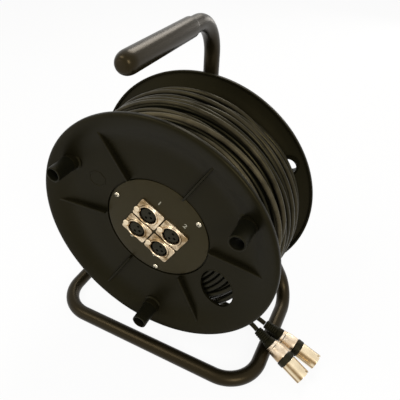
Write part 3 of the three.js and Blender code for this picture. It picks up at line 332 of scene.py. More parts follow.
def plated_metal(name, dark, pale, roughness, mottling=PLAIN_MOTTLING, painted_reflection_bands=None):
    """Mottling is the contrast of the clouds. Painted reflection bands run lengthwise, from an axis point
    and the way up.
    """
    shader = Shader(name)
    brushed = shader.noise(160, 3, 0.5)
    clouds = shader.noise(70, 4)
    tone = clouds * mottling - (mottling - 1) / 2
    if painted_reflection_bands:
        # Painted reflection: bands lighter and darker with the height across the barrel.
        middle, upward = painted_reflection_bands
        level = sum((shader.axis(index) - middle[index]) * (upward[index] / MM) for index in range(3))
        tone = tone + (level * REFLECTION_BAND_TURN + REFLECTION_BAND_START).wave() * REFLECTION_BAND_CONTRAST
    return shader.surface(
        Base_Color=shader.blend(tone.clamped(), dark, pale),
        Metallic=1.0,
        Roughness=(brushed * 0.12 + clouds * 0.1) + roughness,
        Normal=shader.bump(brushed, 0.05, BRUSH_DEPTH),
    )


CAST_NICKEL = plated_metal("cast_nickel", (138, 114, 80), (240, 220, 188), 0.2, 4.0)
SHELL_NICKEL = plated_metal("shell_nickel", (176, 150, 116), (248, 232, 208), 0.24, 3.0)
TAB_NICKEL = plated_metal("tab_nickel", (214, 196, 164), (234, 218, 190), 0.42)
SCREW_NICKEL = plated_metal("screw_nickel", (180, 170, 148), (226, 218, 198), 0.16)
ZINC_STEEL = plated_metal("zinc_steel", (126, 124, 118), (164, 162, 154), 0.3)
BRONZE = plated_metal("bronze", (122, 88, 48), (160, 120, 70), 0.35)


def painted_mark(name, worn_through, fresh):
    shader = Shader(name)
    return shader.surface(Base_Color=shader.blend(shader.noise(700, 4), fresh, worn_through), Roughness=0.5)


MARK_PAINT = painted_mark("mark_paint", (128, 124, 108), (158, 156, 140))
print("finishes:", len(bpy.data.materials))

# %% [markdown]
# ## Helpers
# Most pieces are turned. They could be drawn face by face, but an outline spun about Y says the shape in
# a few numbers. Another helper moves a finished bmesh into place, and a third shades it and ties it to
# its CAD body and to the nodes that it stands for.

# %% Spinning an outline
WELD = 0.0005
SMOOTH_ANGLE = math.radians(32)
TURN_STEPS = 128


def closes_on_itself(outline):
    """An outline that starts on the axis ends there too. Any other closes on itself."""
    return outline[0][0] > 0


def spin_outline(outline, steps):
    """A bmesh of [radius, y] points spun about Y."""
    bm = bmesh.new()
    ring = [bm.verts.new((radius, y, 0)) for radius, y in outline]
    edges = [bm.edges.new(pair) for pair in zip(ring, ring[1:])]
    if closes_on_itself(outline):
        edges.append(bm.edges.new((ring[-1], ring[0])))
    bmesh.ops.spin(
        bm,
        geom=ring + edges,
        cent=(0, 0, 0),
        axis=(0, 1, 0),
        angle=2 * math.pi,
        steps=steps,
        use_merge=True,
    )
    bmesh.ops.remove_doubles(bm, verts=bm.verts, dist=WELD)
    bmesh.ops.recalc_face_normals(bm, faces=bm.faces)
    return bm


# %% Placing, shading and tying a piece
def to_object(name, bm, place, material):
    """The mesh goes to its place, and its object stays at the origin."""
    bm.transform(place)
    mesh = bpy.data.meshes.new(name)
    bm.to_mesh(mesh)
    bm.free()
    piece = bpy.data.objects.new(name, mesh)
    bpy.context.scene.collection.objects.link(piece)
    mesh.materials.append(material)
    return piece


def tie(piece, body, slot, *replaced):
    """The body that a piece rides on, and the CAD nodes that it stands for. The material slot is not used.
    """
    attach(piece, body)
    if replaced:
        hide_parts(*replaced)
    return piece


def dress(piece, body, slot, *replaced):
    """Smooth shading with sharp corners, and the piece's ties."""
    mesh = piece.data
    mesh.polygons.foreach_set("use_smooth", [True] * len(mesh.polygons))
    mesh.set_sharp_from_angle(angle=SMOOTH_ANGLE)
    return tie(piece, body, slot, *replaced)


# %% Cutting holes
def carve(piece, tools, keep="INDEX"):
    """Cuts other closed objects out, then throws them away. TRANSFER leaves their finish in the cut."""
    for tool in tools:
        modifier = piece.modifiers.new("carve", "BOOLEAN")
        modifier.operation = "DIFFERENCE"
        modifier.material_mode = keep
        modifier.solver = "EXACT"
        modifier.object = tool
    graph = bpy.context.evaluated_depsgraph_get()
    mesh = bpy.data.meshes.new_from_object(piece.evaluated_get(graph), depsgraph=graph)
    piece.modifiers.clear()
    piece.data = mesh
    for tool in tools:
        bpy.data.objects.remove(tool)


# %% Turned pieces with rounded corners
ROUNDING_STEPS = 5
ROUNDING_SHARE = 0.48
LONGEST_RUN = 9


def rounded(corners):
    """An outline from [radius, y, corner rounding]. Long runs are divided, so that they shade smoothly."""
    points = []
    for i, (radius, y, rounding) in enumerate(corners):
        here = Vector((radius, y))
        if rounding == 0:
            points.append(here)
            continue
        before = Vector(corners[i - 1][:2]) - here
        after = Vector(corners[(i + 1) % len(corners)][:2]) - here
        start = here + before.normalized() * min(rounding, before.length * ROUNDING_SHARE)
        end = here + after.normalized() * min(rounding, after.length * ROUNDING_SHARE)
        for t in np.linspace(0, 1, ROUNDING_STEPS):
            points.append(start * (1 - t) ** 2 + here * 2 * t * (1 - t) + end * t * t)
    stops = points[1:]
    if closes_on_itself(corners):
        stops.append(points[0])
    outline = []
    for a, b in zip(points, stops):
        parts = max(1, math.ceil((b - a).length / LONGEST_RUN))
        outline += [tuple(a.lerp(b, k / parts)) for k in range(parts)]
    if not closes_on_itself(corners):
        outline.append(tuple(points[-1]))
    return outline


def turned(name, corners, place, material, steps=TURN_STEPS):
    """A turned piece from an outline with corner roundings."""
    return to_object(name, spin_outline(rounded(corners), steps), place, material)


# %% Blocks, bevels and round bars
def only_verts(geometry):
    return [part for part in geometry if isinstance(part, bmesh.types.BMVert)]


def only_edges(geometry):
    return [part for part in geometry if isinstance(part, bmesh.types.BMEdge)]


def block(size):
    bm = bmesh.new()
    bmesh.ops.create_cube(bm, size=1)
    bmesh.ops.scale(bm, vec=size, verts=bm.verts)
    return bm


def bevel(bm, edges, offset, segments=3):
    settings = {"affect": "EDGES", "profile": 0.5, "material": -1}
    bmesh.ops.bevel(bm, geom=edges, offset=offset, segments=segments, **settings)


def round_cutter(radius, from_y, to_y, place, centre=(0, 0, 0), sides=48):
    """A closed round bar along Y, for cutting a hole."""
    bm = bmesh.new()
    bmesh.ops.create_cone(
        bm,
        cap_ends=True,
        segments=sides,
        radius1=radius,
        radius2=radius,
        depth=to_y - from_y,
    )
    bm.transform(Matrix.Translation((0, (from_y + to_y) / 2, 0)) @ Matrix.Rotation(math.pi / 2, 4, "X"))
    bm.transform(Matrix.Translation(centre))
    return to_object("cutter", bm, place, INSERT_PLASTIC)


# %% Joining pieces
def joined(name, pieces):
    """Several pieces as one mesh, each still a closed shell and with its own finish."""
    finishes = list(dict.fromkeys(m for piece in pieces for m in piece.data.materials))
    bm = bmesh.new()
    for piece in pieces:
        start = len(bm.faces)
        bm.from_mesh(piece.data)
        bm.faces.ensure_lookup_table()
        slots = [finishes.index(m) for m in piece.data.materials]
        for face in bm.faces[start:]:
            face.material_index = slots[face.material_index]
    for piece in pieces:
        bpy.data.objects.remove(piece)
    whole = to_object(name, bm, Matrix.Identity(4), finishes[0])
    for material in finishes[1:]:
        whole.data.materials.append(material)
    return whole


# %% [markdown]
# ## Cable tails
# Two thin leads leave from under the pile and run out between the flanges to their plugs. The photograph
# shows all of their free length.

# %% Plug places
CABLE_R = 2.8
BOOT_LENGTH = 22
SHELL_LENGTH = 18
RING_LENGTH = 7
BARREL_LENGTH = 22
SHELL_FROM = BOOT_LENGTH + SEAT_GAP
RING_FROM = SHELL_FROM + SHELL_LENGTH + SEAT_GAP
BARREL_FROM = RING_FROM + RING_LENGTH + SEAT_GAP
PLUG_LENGTH = BARREL_FROM + BARREL_LENGTH
PLUG_BARREL_R = 9.2
PLUG_FLOOR_GAP = 0.1
PLUGS = [
    {"heading": -18, "tilt": 17.3, "end": (181, 26)},
    {"heading": -9, "tilt": 13.8, "end": (189.5, 52.3)},
]


def plug_pose(plug):
    """Where the boot starts and which way the plug points, in millimetres."""
    tilt = math.radians(plug["tilt"])
    heading = math.radians(plug["heading"])
    flat = math.cos(tilt)
    direction = Vector((flat * math.cos(heading), flat * math.sin(heading), -math.sin(tilt)))
    end = Vector((*plug["end"], PLUG_BARREL_R * flat + PLUG_FLOOR_GAP))
    return end - direction * PLUG_LENGTH, direction


# %% Winding profile, as in the CAD source
def wind_rise(y):
    """0 on the low front of the pile, 1 on its full back, with a soft slope between."""
    share = np.clip((np.asarray(y, float) - WIND_RISE_FROM) / WIND_RISE_LENGTH, 0, 1)
    return share * share * (3 - 2 * share)


def wind_radius(y):
    """The pile's surface at a place along the axis."""
    return WIND_LOW_R + (WIND_FULL_R - WIND_LOW_R) * wind_rise(y)


def wind_hang(y):
    """How far the loose turns hang down from the drum's axis."""
    return polar(WIND_SAG * float(wind_rise(y)), -90 - DRUM_REST_ANGLE)


def lie_radius(y):
    """The least radius at which a tail at y clears every turn of the pile, also where it sags."""
    reach = 2 * CABLE_R + SEAT_GAP
    offsets = np.linspace(-reach, reach, 25)
    reached = wind_radius(y + offsets) + WIND_SAG * wind_rise(y + offsets)
    return float(np.max(reached + np.sqrt(reach * reach - offsets * offsets)))


# %% Cable as a curve
def cable_curve(name, runs, place, sheath, sides):
    """Round cable along one or more open runs of points."""
    curve = bpy.data.curves.new(name, "CURVE")
    curve.dimensions = "3D"
    curve.bevel_depth = CABLE_R * MM
    curve.bevel_resolution = sides // 2 - 2
    curve.use_fill_caps = True
    for points in runs:
        spline = curve.splines.new("POLY")
        spline.points.add(len(points) - 1)
        spline.use_smooth = True
        for target, point in zip(spline.points, points):
            target.co = (*(place @ Vector(point)), 1)
    curve.materials.append(sheath)
    piece = bpy.data.objects.new(name, curve)
    bpy.context.scene.collection.objects.link(piece)
    return piece


def line_length(points):
    return float(np.linalg.norm(np.diff(np.array(points), axis=0), axis=1).sum())


# %% Smooth routes
ROUTE_SAMPLES = 24


def smooth_route(points, count):
    """A Catmull-Rom line through points, with centripetal knots, resampled to count points."""
    line = [np.array(p, float) for p in points]
    line = [2 * line[0] - line[1], *line, 2 * line[-1] - line[-2]]
    dense = []
    for a, b, c, d in zip(line, line[1:], line[2:], line[3:]):
        t1 = np.linalg.norm(b - a) ** 0.5
        t2 = t1 + np.linalg.norm(c - b) ** 0.5
        t3 = t2 + np.linalg.norm(d - c) ** 0.5
        for t in np.linspace(t1, t2, ROUTE_SAMPLES, endpoint=False):
            ab = a + (b - a) * t / t1
            bc = b + (c - b) * (t - t1) / (t2 - t1)
            cd = c + (d - c) * (t - t2) / (t3 - t2)
            abc = ab + (bc - ab) * t / t2
            bcd = bc + (cd - bc) * (t - t1) / (t3 - t1)
            dense.append(abc + (bcd - abc) * (t - t1) / (t2 - t1))
    dense.append(line[-2])
    dense = np.array(dense)
    steps = np.linalg.norm(np.diff(dense, axis=0), axis=1)
    along = np.concatenate([[0], np.cumsum(steps)])
    wanted = np.linspace(0, along[-1], count)
    return np.stack([np.interp(wanted, along, dense[:, k]) for k in range(3)], axis=1)


# %% Tails
TAIL_LIE_ANGLES = (-112, -106, -100, -94)
TAIL_ROUTE_SHARES = [(0.12, 0.01), (0.35, 0.14), (0.6, 0.42), (0.83, 0.78)]
STRAIGHT_AT_PLUG = 11
tails = []
for number, plug in enumerate(PLUGS, 1):
    start, direction = plug_pose(plug)
    end = start - direction * SEAT_GAP
    before = end - direction * STRAIGHT_AT_PLUG
    lie_r = lie_radius(before.y)
    lie_z = AXIS_HEIGHT - lie_r
    drop = lie_z - before.z
    points = [polar(lie_r, angle, before.y) + Vector((0, 0, AXIS_HEIGHT)) for angle in TAIL_LIE_ANGLES]
    for along, down in TAIL_ROUTE_SHARES:
        points.append(Vector((before.x * along, before.y, lie_z - drop * down)))
    route = smooth_route([*points, before, end], 40)
    length = line_length(route)
    tail = cable_curve(f"tail_{number}", [route], FRAME_PLACE, TAIL_SHEATH, sides=12)
    tie(tail, "frame", "cable_sheath", f"cable_{number}_tail")
    tails.append({"piece": tail, "exit": FRAME_PLACE @ Vector(route[0]), "length": length * MM})
    print("tail", number, "length in mm:", round(length, 1))

# %% [markdown]
# ## Plugs
# Each tail ends in a cable plug that leans on the base tube with its open end on the floor. A plug is a
# stack of turned parts. Drawing them in their slanting place would take awkward numbers, so each one is
# an outline spun about the plug's own axis and then laid along it.

# %% Turned plug parts
BOOT_RIDGES = 6
RIDGE_PITCH = 2.5
CONTACT_RING_R = 4.3
CONTACT_ANGLES = (-90, 0, 90)
PIN_R = 1.2
PIN_REACH = 13
PLUG_STEPS = 64


def boot_outline():
    """A cone with soft ridges, from the cable to the shell."""
    corners = [(0, 0, 0), (4.6, 0, 0.8)]
    for i in range(BOOT_RIDGES):
        along = 1.6 + i * RIDGE_PITCH
        radius = 5.4 + 1.6 * along / BOOT_LENGTH
        corners += [(radius, along, 0.4), (radius - 0.55, along + 0.5, 0.25)]
        corners += [(radius - 0.5, along + 1.1, 0.25), (radius + 0.25, along + 1.7, 0.4)]
    corners += [(7.3, 18, 1), (7.7, BOOT_LENGTH - 0.4, 0.3), (7.4, BOOT_LENGTH, 0.2), (0, BOOT_LENGTH, 0)]
    return corners


def plug_pins(place):
    """An insulating disc with three turned pins."""
    back = BARREL_FROM + 1 + SEAT_GAP
    face = back + 3
    disc = [(0, back, 0), (7.9, back, 0), (7.9, face - 0.4, 0.4), (7.2, face, 0.2), (0, face, 0)]
    parts = [turned("disc", disc, place, INSERT_PLASTIC, steps=48)]
    low = face - 1
    tip = face + PIN_REACH
    pin = [(0, low, 0), (PIN_R, low, 0), (PIN_R, tip - 1.4, 0.5), (PIN_R / 2, tip, 0.3), (0, tip, 0)]
    for degrees in CONTACT_ANGLES:
        at = place @ Matrix.Translation(polar(CONTACT_RING_R, degrees))
        parts.append(turned("pin", pin, at, SHELL_NICKEL, steps=20))
    return parts


# %% Whole plug
def make_plug(number, plug):
    start, direction = plug_pose(plug)
    turn = Vector((0, 1, 0)).rotation_difference(direction).to_matrix().to_4x4()
    place = FRAME_PLACE @ Matrix.Translation(start) @ turn
    # The barrel's painted reflection bands follow the height above the plug's axis.
    upward = (Vector((0, 0, 1)) - direction * direction.z).normalized()
    painted_reflection_bands = (place.translation, upward)
    reflection_banded_nickel = plated_metal(f"plug_{number}_nickel", (132, 104, 64), (244, 226, 192), 0.16, 0.8, painted_reflection_bands)
    name = f"plug_{number}"
    boot = turned(f"{name}_ridged_boot", boot_outline(), place, BOOT_RUBBER, PLUG_STEPS)
    shell_end = RING_FROM - SEAT_GAP
    shell = [
        (0, SHELL_FROM, 0),
        (7.7, SHELL_FROM, 0.2),
        (8.0, SHELL_FROM + 0.5, 0.3),
        (8.0, SHELL_FROM + 3.2, 0.3),
        (8.5, SHELL_FROM + 3.8, 0.4),
        (9.2, SHELL_FROM + 10, 3),
        (9.3, shell_end - 0.5, 0.3),
        (9.0, shell_end, 0.2),
        (0, shell_end, 0),
    ]
    shell = turned(f"{name}_nickel_shell", shell, place, SHELL_NICKEL, PLUG_STEPS)
    ring_end = BARREL_FROM - SEAT_GAP
    ring = [
        (0, RING_FROM, 0),
        (9.4, RING_FROM, 0.3),
        (10, RING_FROM + 0.7, 0.5),
        (10, ring_end - 0.7, 0.5),
        (9.4, ring_end, 0.3),
        (0, ring_end, 0),
    ]
    ring = turned(f"{name}_coding_ring", ring, place, INSERT_PLASTIC, PLUG_STEPS)
    tip = PLUG_LENGTH
    barrel = [
        (0, BARREL_FROM, 0),
        (PLUG_BARREL_R - 0.2, BARREL_FROM, 0.2),
        (PLUG_BARREL_R, BARREL_FROM + 0.4, 0.2),
        (PLUG_BARREL_R, tip - 0.4, 0.4),
        (8.7, tip, 0.2),
        (8.2, tip - 0.4, 0.3),
        (8.2, BARREL_FROM + 1, 0.3),
        (0, BARREL_FROM + 1, 0),
    ]
    barrel = turned(f"{name}_nickel_barrel", barrel, place, reflection_banded_nickel, PLUG_STEPS)
    key = block((3, 7, PLUG_BARREL_R))
    bevel(key, [e for e in key.edges if abs(e.verts[0].co.z - e.verts[1].co.z) > 1], 0.6)
    bmesh.ops.translate(key, vec=(0, tip, PLUG_BARREL_R), verts=key.verts)
    carve(barrel, [to_object("key", key, place, reflection_banded_nickel)])
    insert, *pins = plug_pins(place)
    insert.name = f"{name}_pin_insert"
    metal = joined(f"{name}_pins", pins)
    return [
        dress(boot, "frame", "plug_rubber", f"{name}_boot"),
        dress(shell, "frame", "nickel", f"{name}_shell"),
        dress(ring, "frame", "plug_plastic", f"{name}_ring"),
        dress(barrel, "frame", "nickel", f"{name}_barrel"),
        dress(insert, "frame", "insert_plastic", f"{name}_insert"),
        dress(metal, "frame", "nickel"),
    ]


# %% Both plugs, each at the end of its cord
for number, (plug, tail) in enumerate(zip(PLUGS, tails), 1):
    parts = make_plug(number, plug)
    print("plug", number, "pieces:", len(parts))

# %% [markdown]
# ## Carrying frame
# The real frame is round steel tube, bent cold and then powder-coated. A bevelled curve could stand for
# it, but its bends would only come near to arcs. A circle pushed along the straight runs and spun round
# each bend centre gives true bends of the bender's radius, with no kinks.

# %% Tube bender
BASE_HALF_WIDTH = 130.6
BASE_OVERHANG = 18.3
LEG_ANGLE = 60
ARM_Z = AXIS_HEIGHT + 191.4
POST_FOOT_Z = AXIS_HEIGHT - 30
GRIP_NOSE = 6.5
TUBE_SIDES = 64
BEND_STEPS = 48
LEG_BEND_R = 34
BASE_BEND_R = 40
ARM_BEND_R = 41


def bent_tube(name, corners, bends):
    """A solid-ended round tube through corners, with an arc of the given radius at each inner corner."""
    bm = bmesh.new()
    corners = [Vector(corner) for corner in corners]
    ring = bmesh.ops.create_circle(bm, cap_ends=False, radius=TUBE_R, segments=TUBE_SIDES)["verts"]
    first = (corners[1] - corners[0]).normalized()
    turn = Vector((0, 0, 1)).rotation_difference(first).to_matrix().to_4x4()
    bmesh.ops.transform(bm, matrix=Matrix.Translation(corners[0]) @ turn, verts=ring)
    edges = list(bm.edges)
    here = corners[0]
    for i, corner in enumerate(corners[1:], 1):
        before = (corner - corners[i - 1]).normalized()
        last = i == len(corners) - 1
        stop = corner
        if not last:
            after = (corners[i + 1] - corner).normalized()
            angle = before.angle(after)
            stop = corner - before * bends[i - 1] * math.tan(angle / 2)
        grown = bmesh.ops.extrude_edge_only(bm, edges=edges)["geom"]
        verts = only_verts(grown)
        edges = [e for e in only_edges(grown) if all(v in verts for v in e.verts)]
        bmesh.ops.translate(bm, vec=stop - here, verts=verts)
        here = stop
        if not last:
            inward = (after - before * after.dot(before)).normalized()
            spun = bmesh.ops.spin(
                bm,
                geom=verts + edges,
                cent=stop + inward * bends[i - 1],
                axis=before.cross(after).normalized(),
                angle=angle,
                steps=BEND_STEPS,
                use_merge=False,
            )["geom_last"]
            edges = only_edges(spun)
            here = corner + after * bends[i - 1] * math.tan(angle / 2)
    bmesh.ops.remove_doubles(bm, verts=bm.verts, dist=WELD)
    bmesh.ops.holes_fill(bm, edges=[e for e in bm.edges if e.is_boundary], sides=TUBE_SIDES)
    bmesh.ops.recalc_face_normals(bm, faces=bm.faces)
    return to_object(name, bm, FRAME_PLACE, TUBE_COAT)


# %% Base loop and legs
base_low = TUBE_R
leg_rise = BASE_HALF_WIDTH * math.tan(math.radians(LEG_ANGLE))
leg_meet = Vector((0, POST_Y, base_low + leg_rise))
base_loop = bent_tube(
    "bent_base_loop",
    [
        leg_meet + Vector((-2, 0, -3)),
        (-BASE_HALF_WIDTH, POST_Y, base_low),
        (-BASE_HALF_WIDTH, -BASE_OVERHANG, base_low),
        (BASE_HALF_WIDTH, -BASE_OVERHANG, base_low),
        (BASE_HALF_WIDTH, POST_Y, base_low),
        leg_meet + Vector((2, 0, -3)),
    ],
    [LEG_BEND_R, BASE_BEND_R, BASE_BEND_R, LEG_BEND_R],
)
dress(base_loop, "frame", "frame_tube", "base_loop")

# %% Post and arm
carry_tube = bent_tube(
    "bent_carry_tube",
    [(0, POST_Y, POST_FOOT_Z), (0, POST_Y, ARM_Z), (0, GRIP_NOSE + SEAT_GAP - GRIP_OVERHANG, ARM_Z)],
    [ARM_BEND_R],
)
dress(carry_tube, "frame", "frame_tube", "carry_tube")
print("tube faces:", len(base_loop.data.polygons), len(carry_tube.data.polygons))

# %% Hand grip
GRIP_R = 10
GRIP_LENGTH = 117
front = -GRIP_OVERHANG
back = front + GRIP_LENGTH
seat = front + GRIP_NOSE
grip = turned(
    "moulded_grip",
    [
        (0, front, 0),
        (GRIP_R - 3.4, front, 4.5),
        (GRIP_R, seat, 4.5),
        (GRIP_R, back - 1.2, 1.1),
        (GRIP_R - 1.1, back, 0.3),
        (TUBE_R + SEAT_GAP, back, 0.3),
        (TUBE_R + SEAT_GAP, seat, 0),
        (0, seat, 0),
    ],
    FRAME_PLACE @ Matrix.Translation((0, 0, ARM_Z)),
    GRIP_PLASTIC,
)
dress(grip, "frame", "grip_plastic", "hand_grip")
print("grip faces:", len(grip.data.polygons))

# %% [markdown]
# ## Flanges
# Both flanges come from one mould: a shallow dish with a rolled rim. Its outline is spun, the finger
# window and the foot and screw holes are cut out, and ribs with draft, foot bosses and screw bosses stand
# on it. Building faces round every hole would take far longer than cutting the holes.

# %% Flange sizes
FLANGE_WALL = 3
LIP_R = 62.7
LIP_Y = 14.8
GROOVE_R = 62.2
KNEE_R = 108
KNEE_Y = 10.4
RIM_R = 124
RIM_DIP = 3
RIM_INNER_R = 134.9
RIM_BACK_Y = 5.5
SEAT_Y = 17.6
SEAT_BORE_R = 50
SPIGOT_FOOT_Y = SEAT_Y + FLANGE_WALL
SPIGOT_END_Y = SPIGOT_FOOT_Y + 6
SPIGOT_WALL = 2.5
BARREL_R = 64
BARREL_BORE_R = 61
FOOT_CENTRE_R = 114.3
SCREW_CENTRE_R = 55.7
SCREW_HOLE_R = 2.05
SCREW_BOSS_R = 4.3
WINDOW_CENTRE = (89.3, -3.2)
WINDOW_HALVES = (19.2, 23.3)
WINDOW_TILT = 42.6
REAR_HOLE_CENTRE_R = 119
MARK_CENTRE_R = 82.5
FOOT_ANGLES = [60, 180, 300]
FOOT_R = 8.5
FOOT_BORE_R = 6.8
FOOT_REACH = 22.8
FOOT_SEAT_Y = 11.2
FOOT_COLLAR_R = 9.9
FOOT_HOLE_R = FOOT_R + SEAT_GAP
RIB_ANGLES = [30 + 60 * i for i in range(6)]
RIB_HEIGHT = 6
RIB_ROOT_WALL = 3.4
RIB_CREST_SHARE = 0.6


def dish_y(radius):
    """Front surface of the dish: nearly flat out to the knee, then steep up to the rim."""
    return np.interp(radius, (LIP_R, KNEE_R, RIM_R), (LIP_Y, KNEE_Y, RIM_DIP))


# %% Ribs
def rib(degrees, place):
    """A tapering fin, wider at its root, as a mould needs it."""
    start = GROOVE_R + 0.4
    crest = LIP_Y - RIB_HEIGHT
    outline = [
        (start, LIP_Y + 1),
        (start, crest),
        (116.5, crest - 3.9),
        (121, dish_y(121) - 0.1),
        (121.4, dish_y(121.4) + 1),
        (KNEE_R, KNEE_Y + 1),
    ]
    bm = bmesh.new()
    face = bm.faces.new([bm.verts.new((radius, y, -RIB_ROOT_WALL / 2)) for radius, y in outline])
    grown = bmesh.ops.extrude_face_region(bm, geom=[face])["geom"]
    bmesh.ops.translate(bm, vec=(0, 0, RIB_ROOT_WALL), verts=only_verts(grown))
    for vert in bm.verts:
        if vert.co.y < dish_y(vert.co.x) + 0.5:
            vert.co.z *= RIB_CREST_SHARE
    bmesh.ops.recalc_face_normals(bm, faces=bm.faces)
    bevel(bm, bm.edges[:], 0.45)
    bm.transform(Matrix.Rotation(-math.radians(degrees), 4, "Y"))
    return to_object("rib", bm, place, DRUM_PLASTIC)


# %% Finger window
def window_place(place, y, lean):
    """An oval finger window is a round shape of radius 1, stretched in its own plane."""
    at = place @ Matrix.Translation((WINDOW_CENTRE[0], y, WINDOW_CENTRE[1])) @ lean
    at = at @ Matrix.Rotation(-math.radians(WINDOW_TILT), 4, "Y")
    return at @ Matrix.Diagonal((WINDOW_HALVES[0], 1, WINDOW_HALVES[1], 1))


# %% Whole flange
def make_flange(name, node, place, foot_centre_r):
    land_r = BARREL_R + 2
    spigot_r = BARREL_BORE_R - SEAT_GAP
    dish = turned(
        name,
        [
            (SEAT_BORE_R, SEAT_Y, 0.3),
            (GROOVE_R, SEAT_Y, 0),
            (GROOVE_R, LIP_Y, 0.35),
            (GROOVE_R + 1.6, LIP_Y, 0.8),
            (KNEE_R, KNEE_Y, 9),
            (RIM_R, RIM_DIP, 6),
            (134.4, 0, 3.4),
            (FLANGE_R, 1.2, 2.2),
            (FLANGE_R, RIM_BACK_Y, 0.7),
            (RIM_INNER_R, RIM_BACK_Y, 0.7),
            (RIM_INNER_R, FLANGE_WALL, 0.6),
            (RIM_R, FLANGE_WALL + RIM_DIP, 4),
            (KNEE_R, FLANGE_WALL + KNEE_Y, 9),
            (land_r, dish_y(land_r) + FLANGE_WALL, 0),
            (land_r, SPIGOT_FOOT_Y, 0.4),
            (spigot_r, SPIGOT_FOOT_Y, 0),
            (spigot_r, SPIGOT_END_Y, 0.4),
            (spigot_r - SPIGOT_WALL, SPIGOT_END_Y, 0.4),
            (spigot_r - SPIGOT_WALL, SPIGOT_FOOT_Y, 0),
            (SEAT_BORE_R, SPIGOT_FOOT_Y, 0.3),
        ],
        place,
        DRUM_PLASTIC,
        steps=160,
    )
    holes = [round_cutter(1, -15, 12, window_place(place, 13, Matrix.Identity(4)), sides=64)]
    for degrees in FOOT_ANGLES:
        at = polar(foot_centre_r, degrees)
        holes.append(round_cutter(FOOT_HOLE_R, -6, 15, place, at))
        holes.append(round_cutter(FOOT_COLLAR_R + SEAT_GAP, FOOT_SEAT_Y, 20, place, at))
        at = polar(SCREW_CENTRE_R, degrees)
        holes.append(round_cutter(SCREW_HOLE_R, SEAT_Y - 2, 30, place, at, sides=24))
    carve(dish, holes)
    added = [rib(degrees, place) for degrees in RIB_ANGLES]
    base = dish_y(foot_centre_r)
    foot_boss = [
        (FOOT_HOLE_R, base - 6.2, 0.2),
        (9.25, base - 6.2, 0.3),
        (9.3, base + 0.1, 0),
        (11.1, base + 1.2, 0),
        (11.1, FOOT_SEAT_Y, 0),
        (FOOT_HOLE_R, FOOT_SEAT_Y, 0),
    ]
    inner, outer, root, tip = SCREW_HOLE_R, SCREW_BOSS_R, 18.4, 31.6
    screw_boss = [(inner, root, 0), (outer, root, 0), (outer, tip, 0.4), (inner, tip, 0)]
    window_lip = [(0.998, -0.35, 0.01), (1.04, -0.35, 0.02), (1.07, 0.6, 0), (0.998, 0.6, 0)]
    for degrees in FOOT_ANGLES:
        at = place @ Matrix.Translation(polar(foot_centre_r, degrees))
        added.append(turned("boss", foot_boss, at, DRUM_PLASTIC, steps=48))
        at = place @ Matrix.Translation(polar(SCREW_CENTRE_R, degrees))
        added.append(turned("boss", screw_boss, at, DRUM_PLASTIC, steps=24))
    lean = Matrix.Rotation(math.atan((LIP_Y - KNEE_Y) / (KNEE_R - LIP_R)), 4, "Z")
    at = window_place(place, dish_y(WINDOW_CENTRE[0]), lean.inverted())
    added.append(turned("lip", window_lip, at, DRUM_PLASTIC, steps=64))
    mark = [(9.4, -0.35, 0), (10.6, -0.35, 0), (11, 0.3, 0), (9, 0.3, 0)]
    at = place @ Matrix.Translation((-MARK_CENTRE_R, dish_y(MARK_CENTRE_R), 0)) @ lean
    added.append(turned("mould_mark", mark, at, DRUM_PLASTIC, steps=8))
    flange = joined(name, [dish, *added])
    return dress(flange, "drum", "drum_plastic", node)


front_flange = make_flange("moulded_front_flange", "front_flange", DRUM_PLACE, FOOT_CENTRE_R)
rear_flange = make_flange("moulded_rear_flange", "rear_flange", REAR_PLACE, REAR_HOLE_CENTRE_R)
print("flange faces:", len(front_flange.data.polygons))

# %% [markdown]
# ## Feet
# Three hollow feet let the drum stand on its socket side. Each is a tube with a rounded tip that comes
# through the flange from behind and stops with its collar in a counterbore. One closed outline, spun,
# makes the tube, its bore and its collar at once.

# %% Feet
collar = FOOT_SEAT_Y + SEAT_GAP
back = collar + 1.5
foot_outline = [
    (FOOT_BORE_R, -FOOT_REACH, 0.5),
    (FOOT_R, -FOOT_REACH, 0.9),
    (FOOT_R, collar, 0),
    (FOOT_COLLAR_R, collar, 0.3),
    (FOOT_COLLAR_R, back, 0.3),
    (FOOT_BORE_R, back, 0.3),
]
for i, degrees in enumerate(FOOT_ANGLES, 1):
    at = DRUM_PLACE @ Matrix.Translation(polar(FOOT_CENTRE_R, degrees))
    foot = turned(f"moulded_foot_{i}", foot_outline, at, FOOT_PLASTIC, steps=56)
    dress(foot, "drum", "drum_plastic", f"foot_{i}")
print("foot faces:", len(foot.data.polygons))

# %% [markdown]
# ## Socket panel
# A painted metal disc closes the dish. It is spun with a softly broken edge, then the holes for sockets,
# press tabs and screws are cut through it. Plain numerals beside the sockets tell the four channels apart.
# They start as text, which saves drawing each digit.

# %% Panel disc
DISH_DEPTH = 15.3
PANEL_R = 60.5
PANEL_BACK_Y = 17.3
SOCKET_PITCH_X = 32.5
SOCKET_PITCH_Z = 28.4
SOCKET_DROP = 3.7
LATCH_AT = Vector((-13.2, 0, -3.4))
BODY_HOLE_R = 11.9
STEM_HOLE_R = 1.9
THROUGH = 5
SOCKET_PLACES = []
for row in (1, -1):
    for column in (-1, 1):
        x = column * SOCKET_PITCH_X / 2
        z = row * SOCKET_PITCH_Z / 2 - SOCKET_DROP
        SOCKET_PLACES.append(Vector((x, DISH_DEPTH, z)))

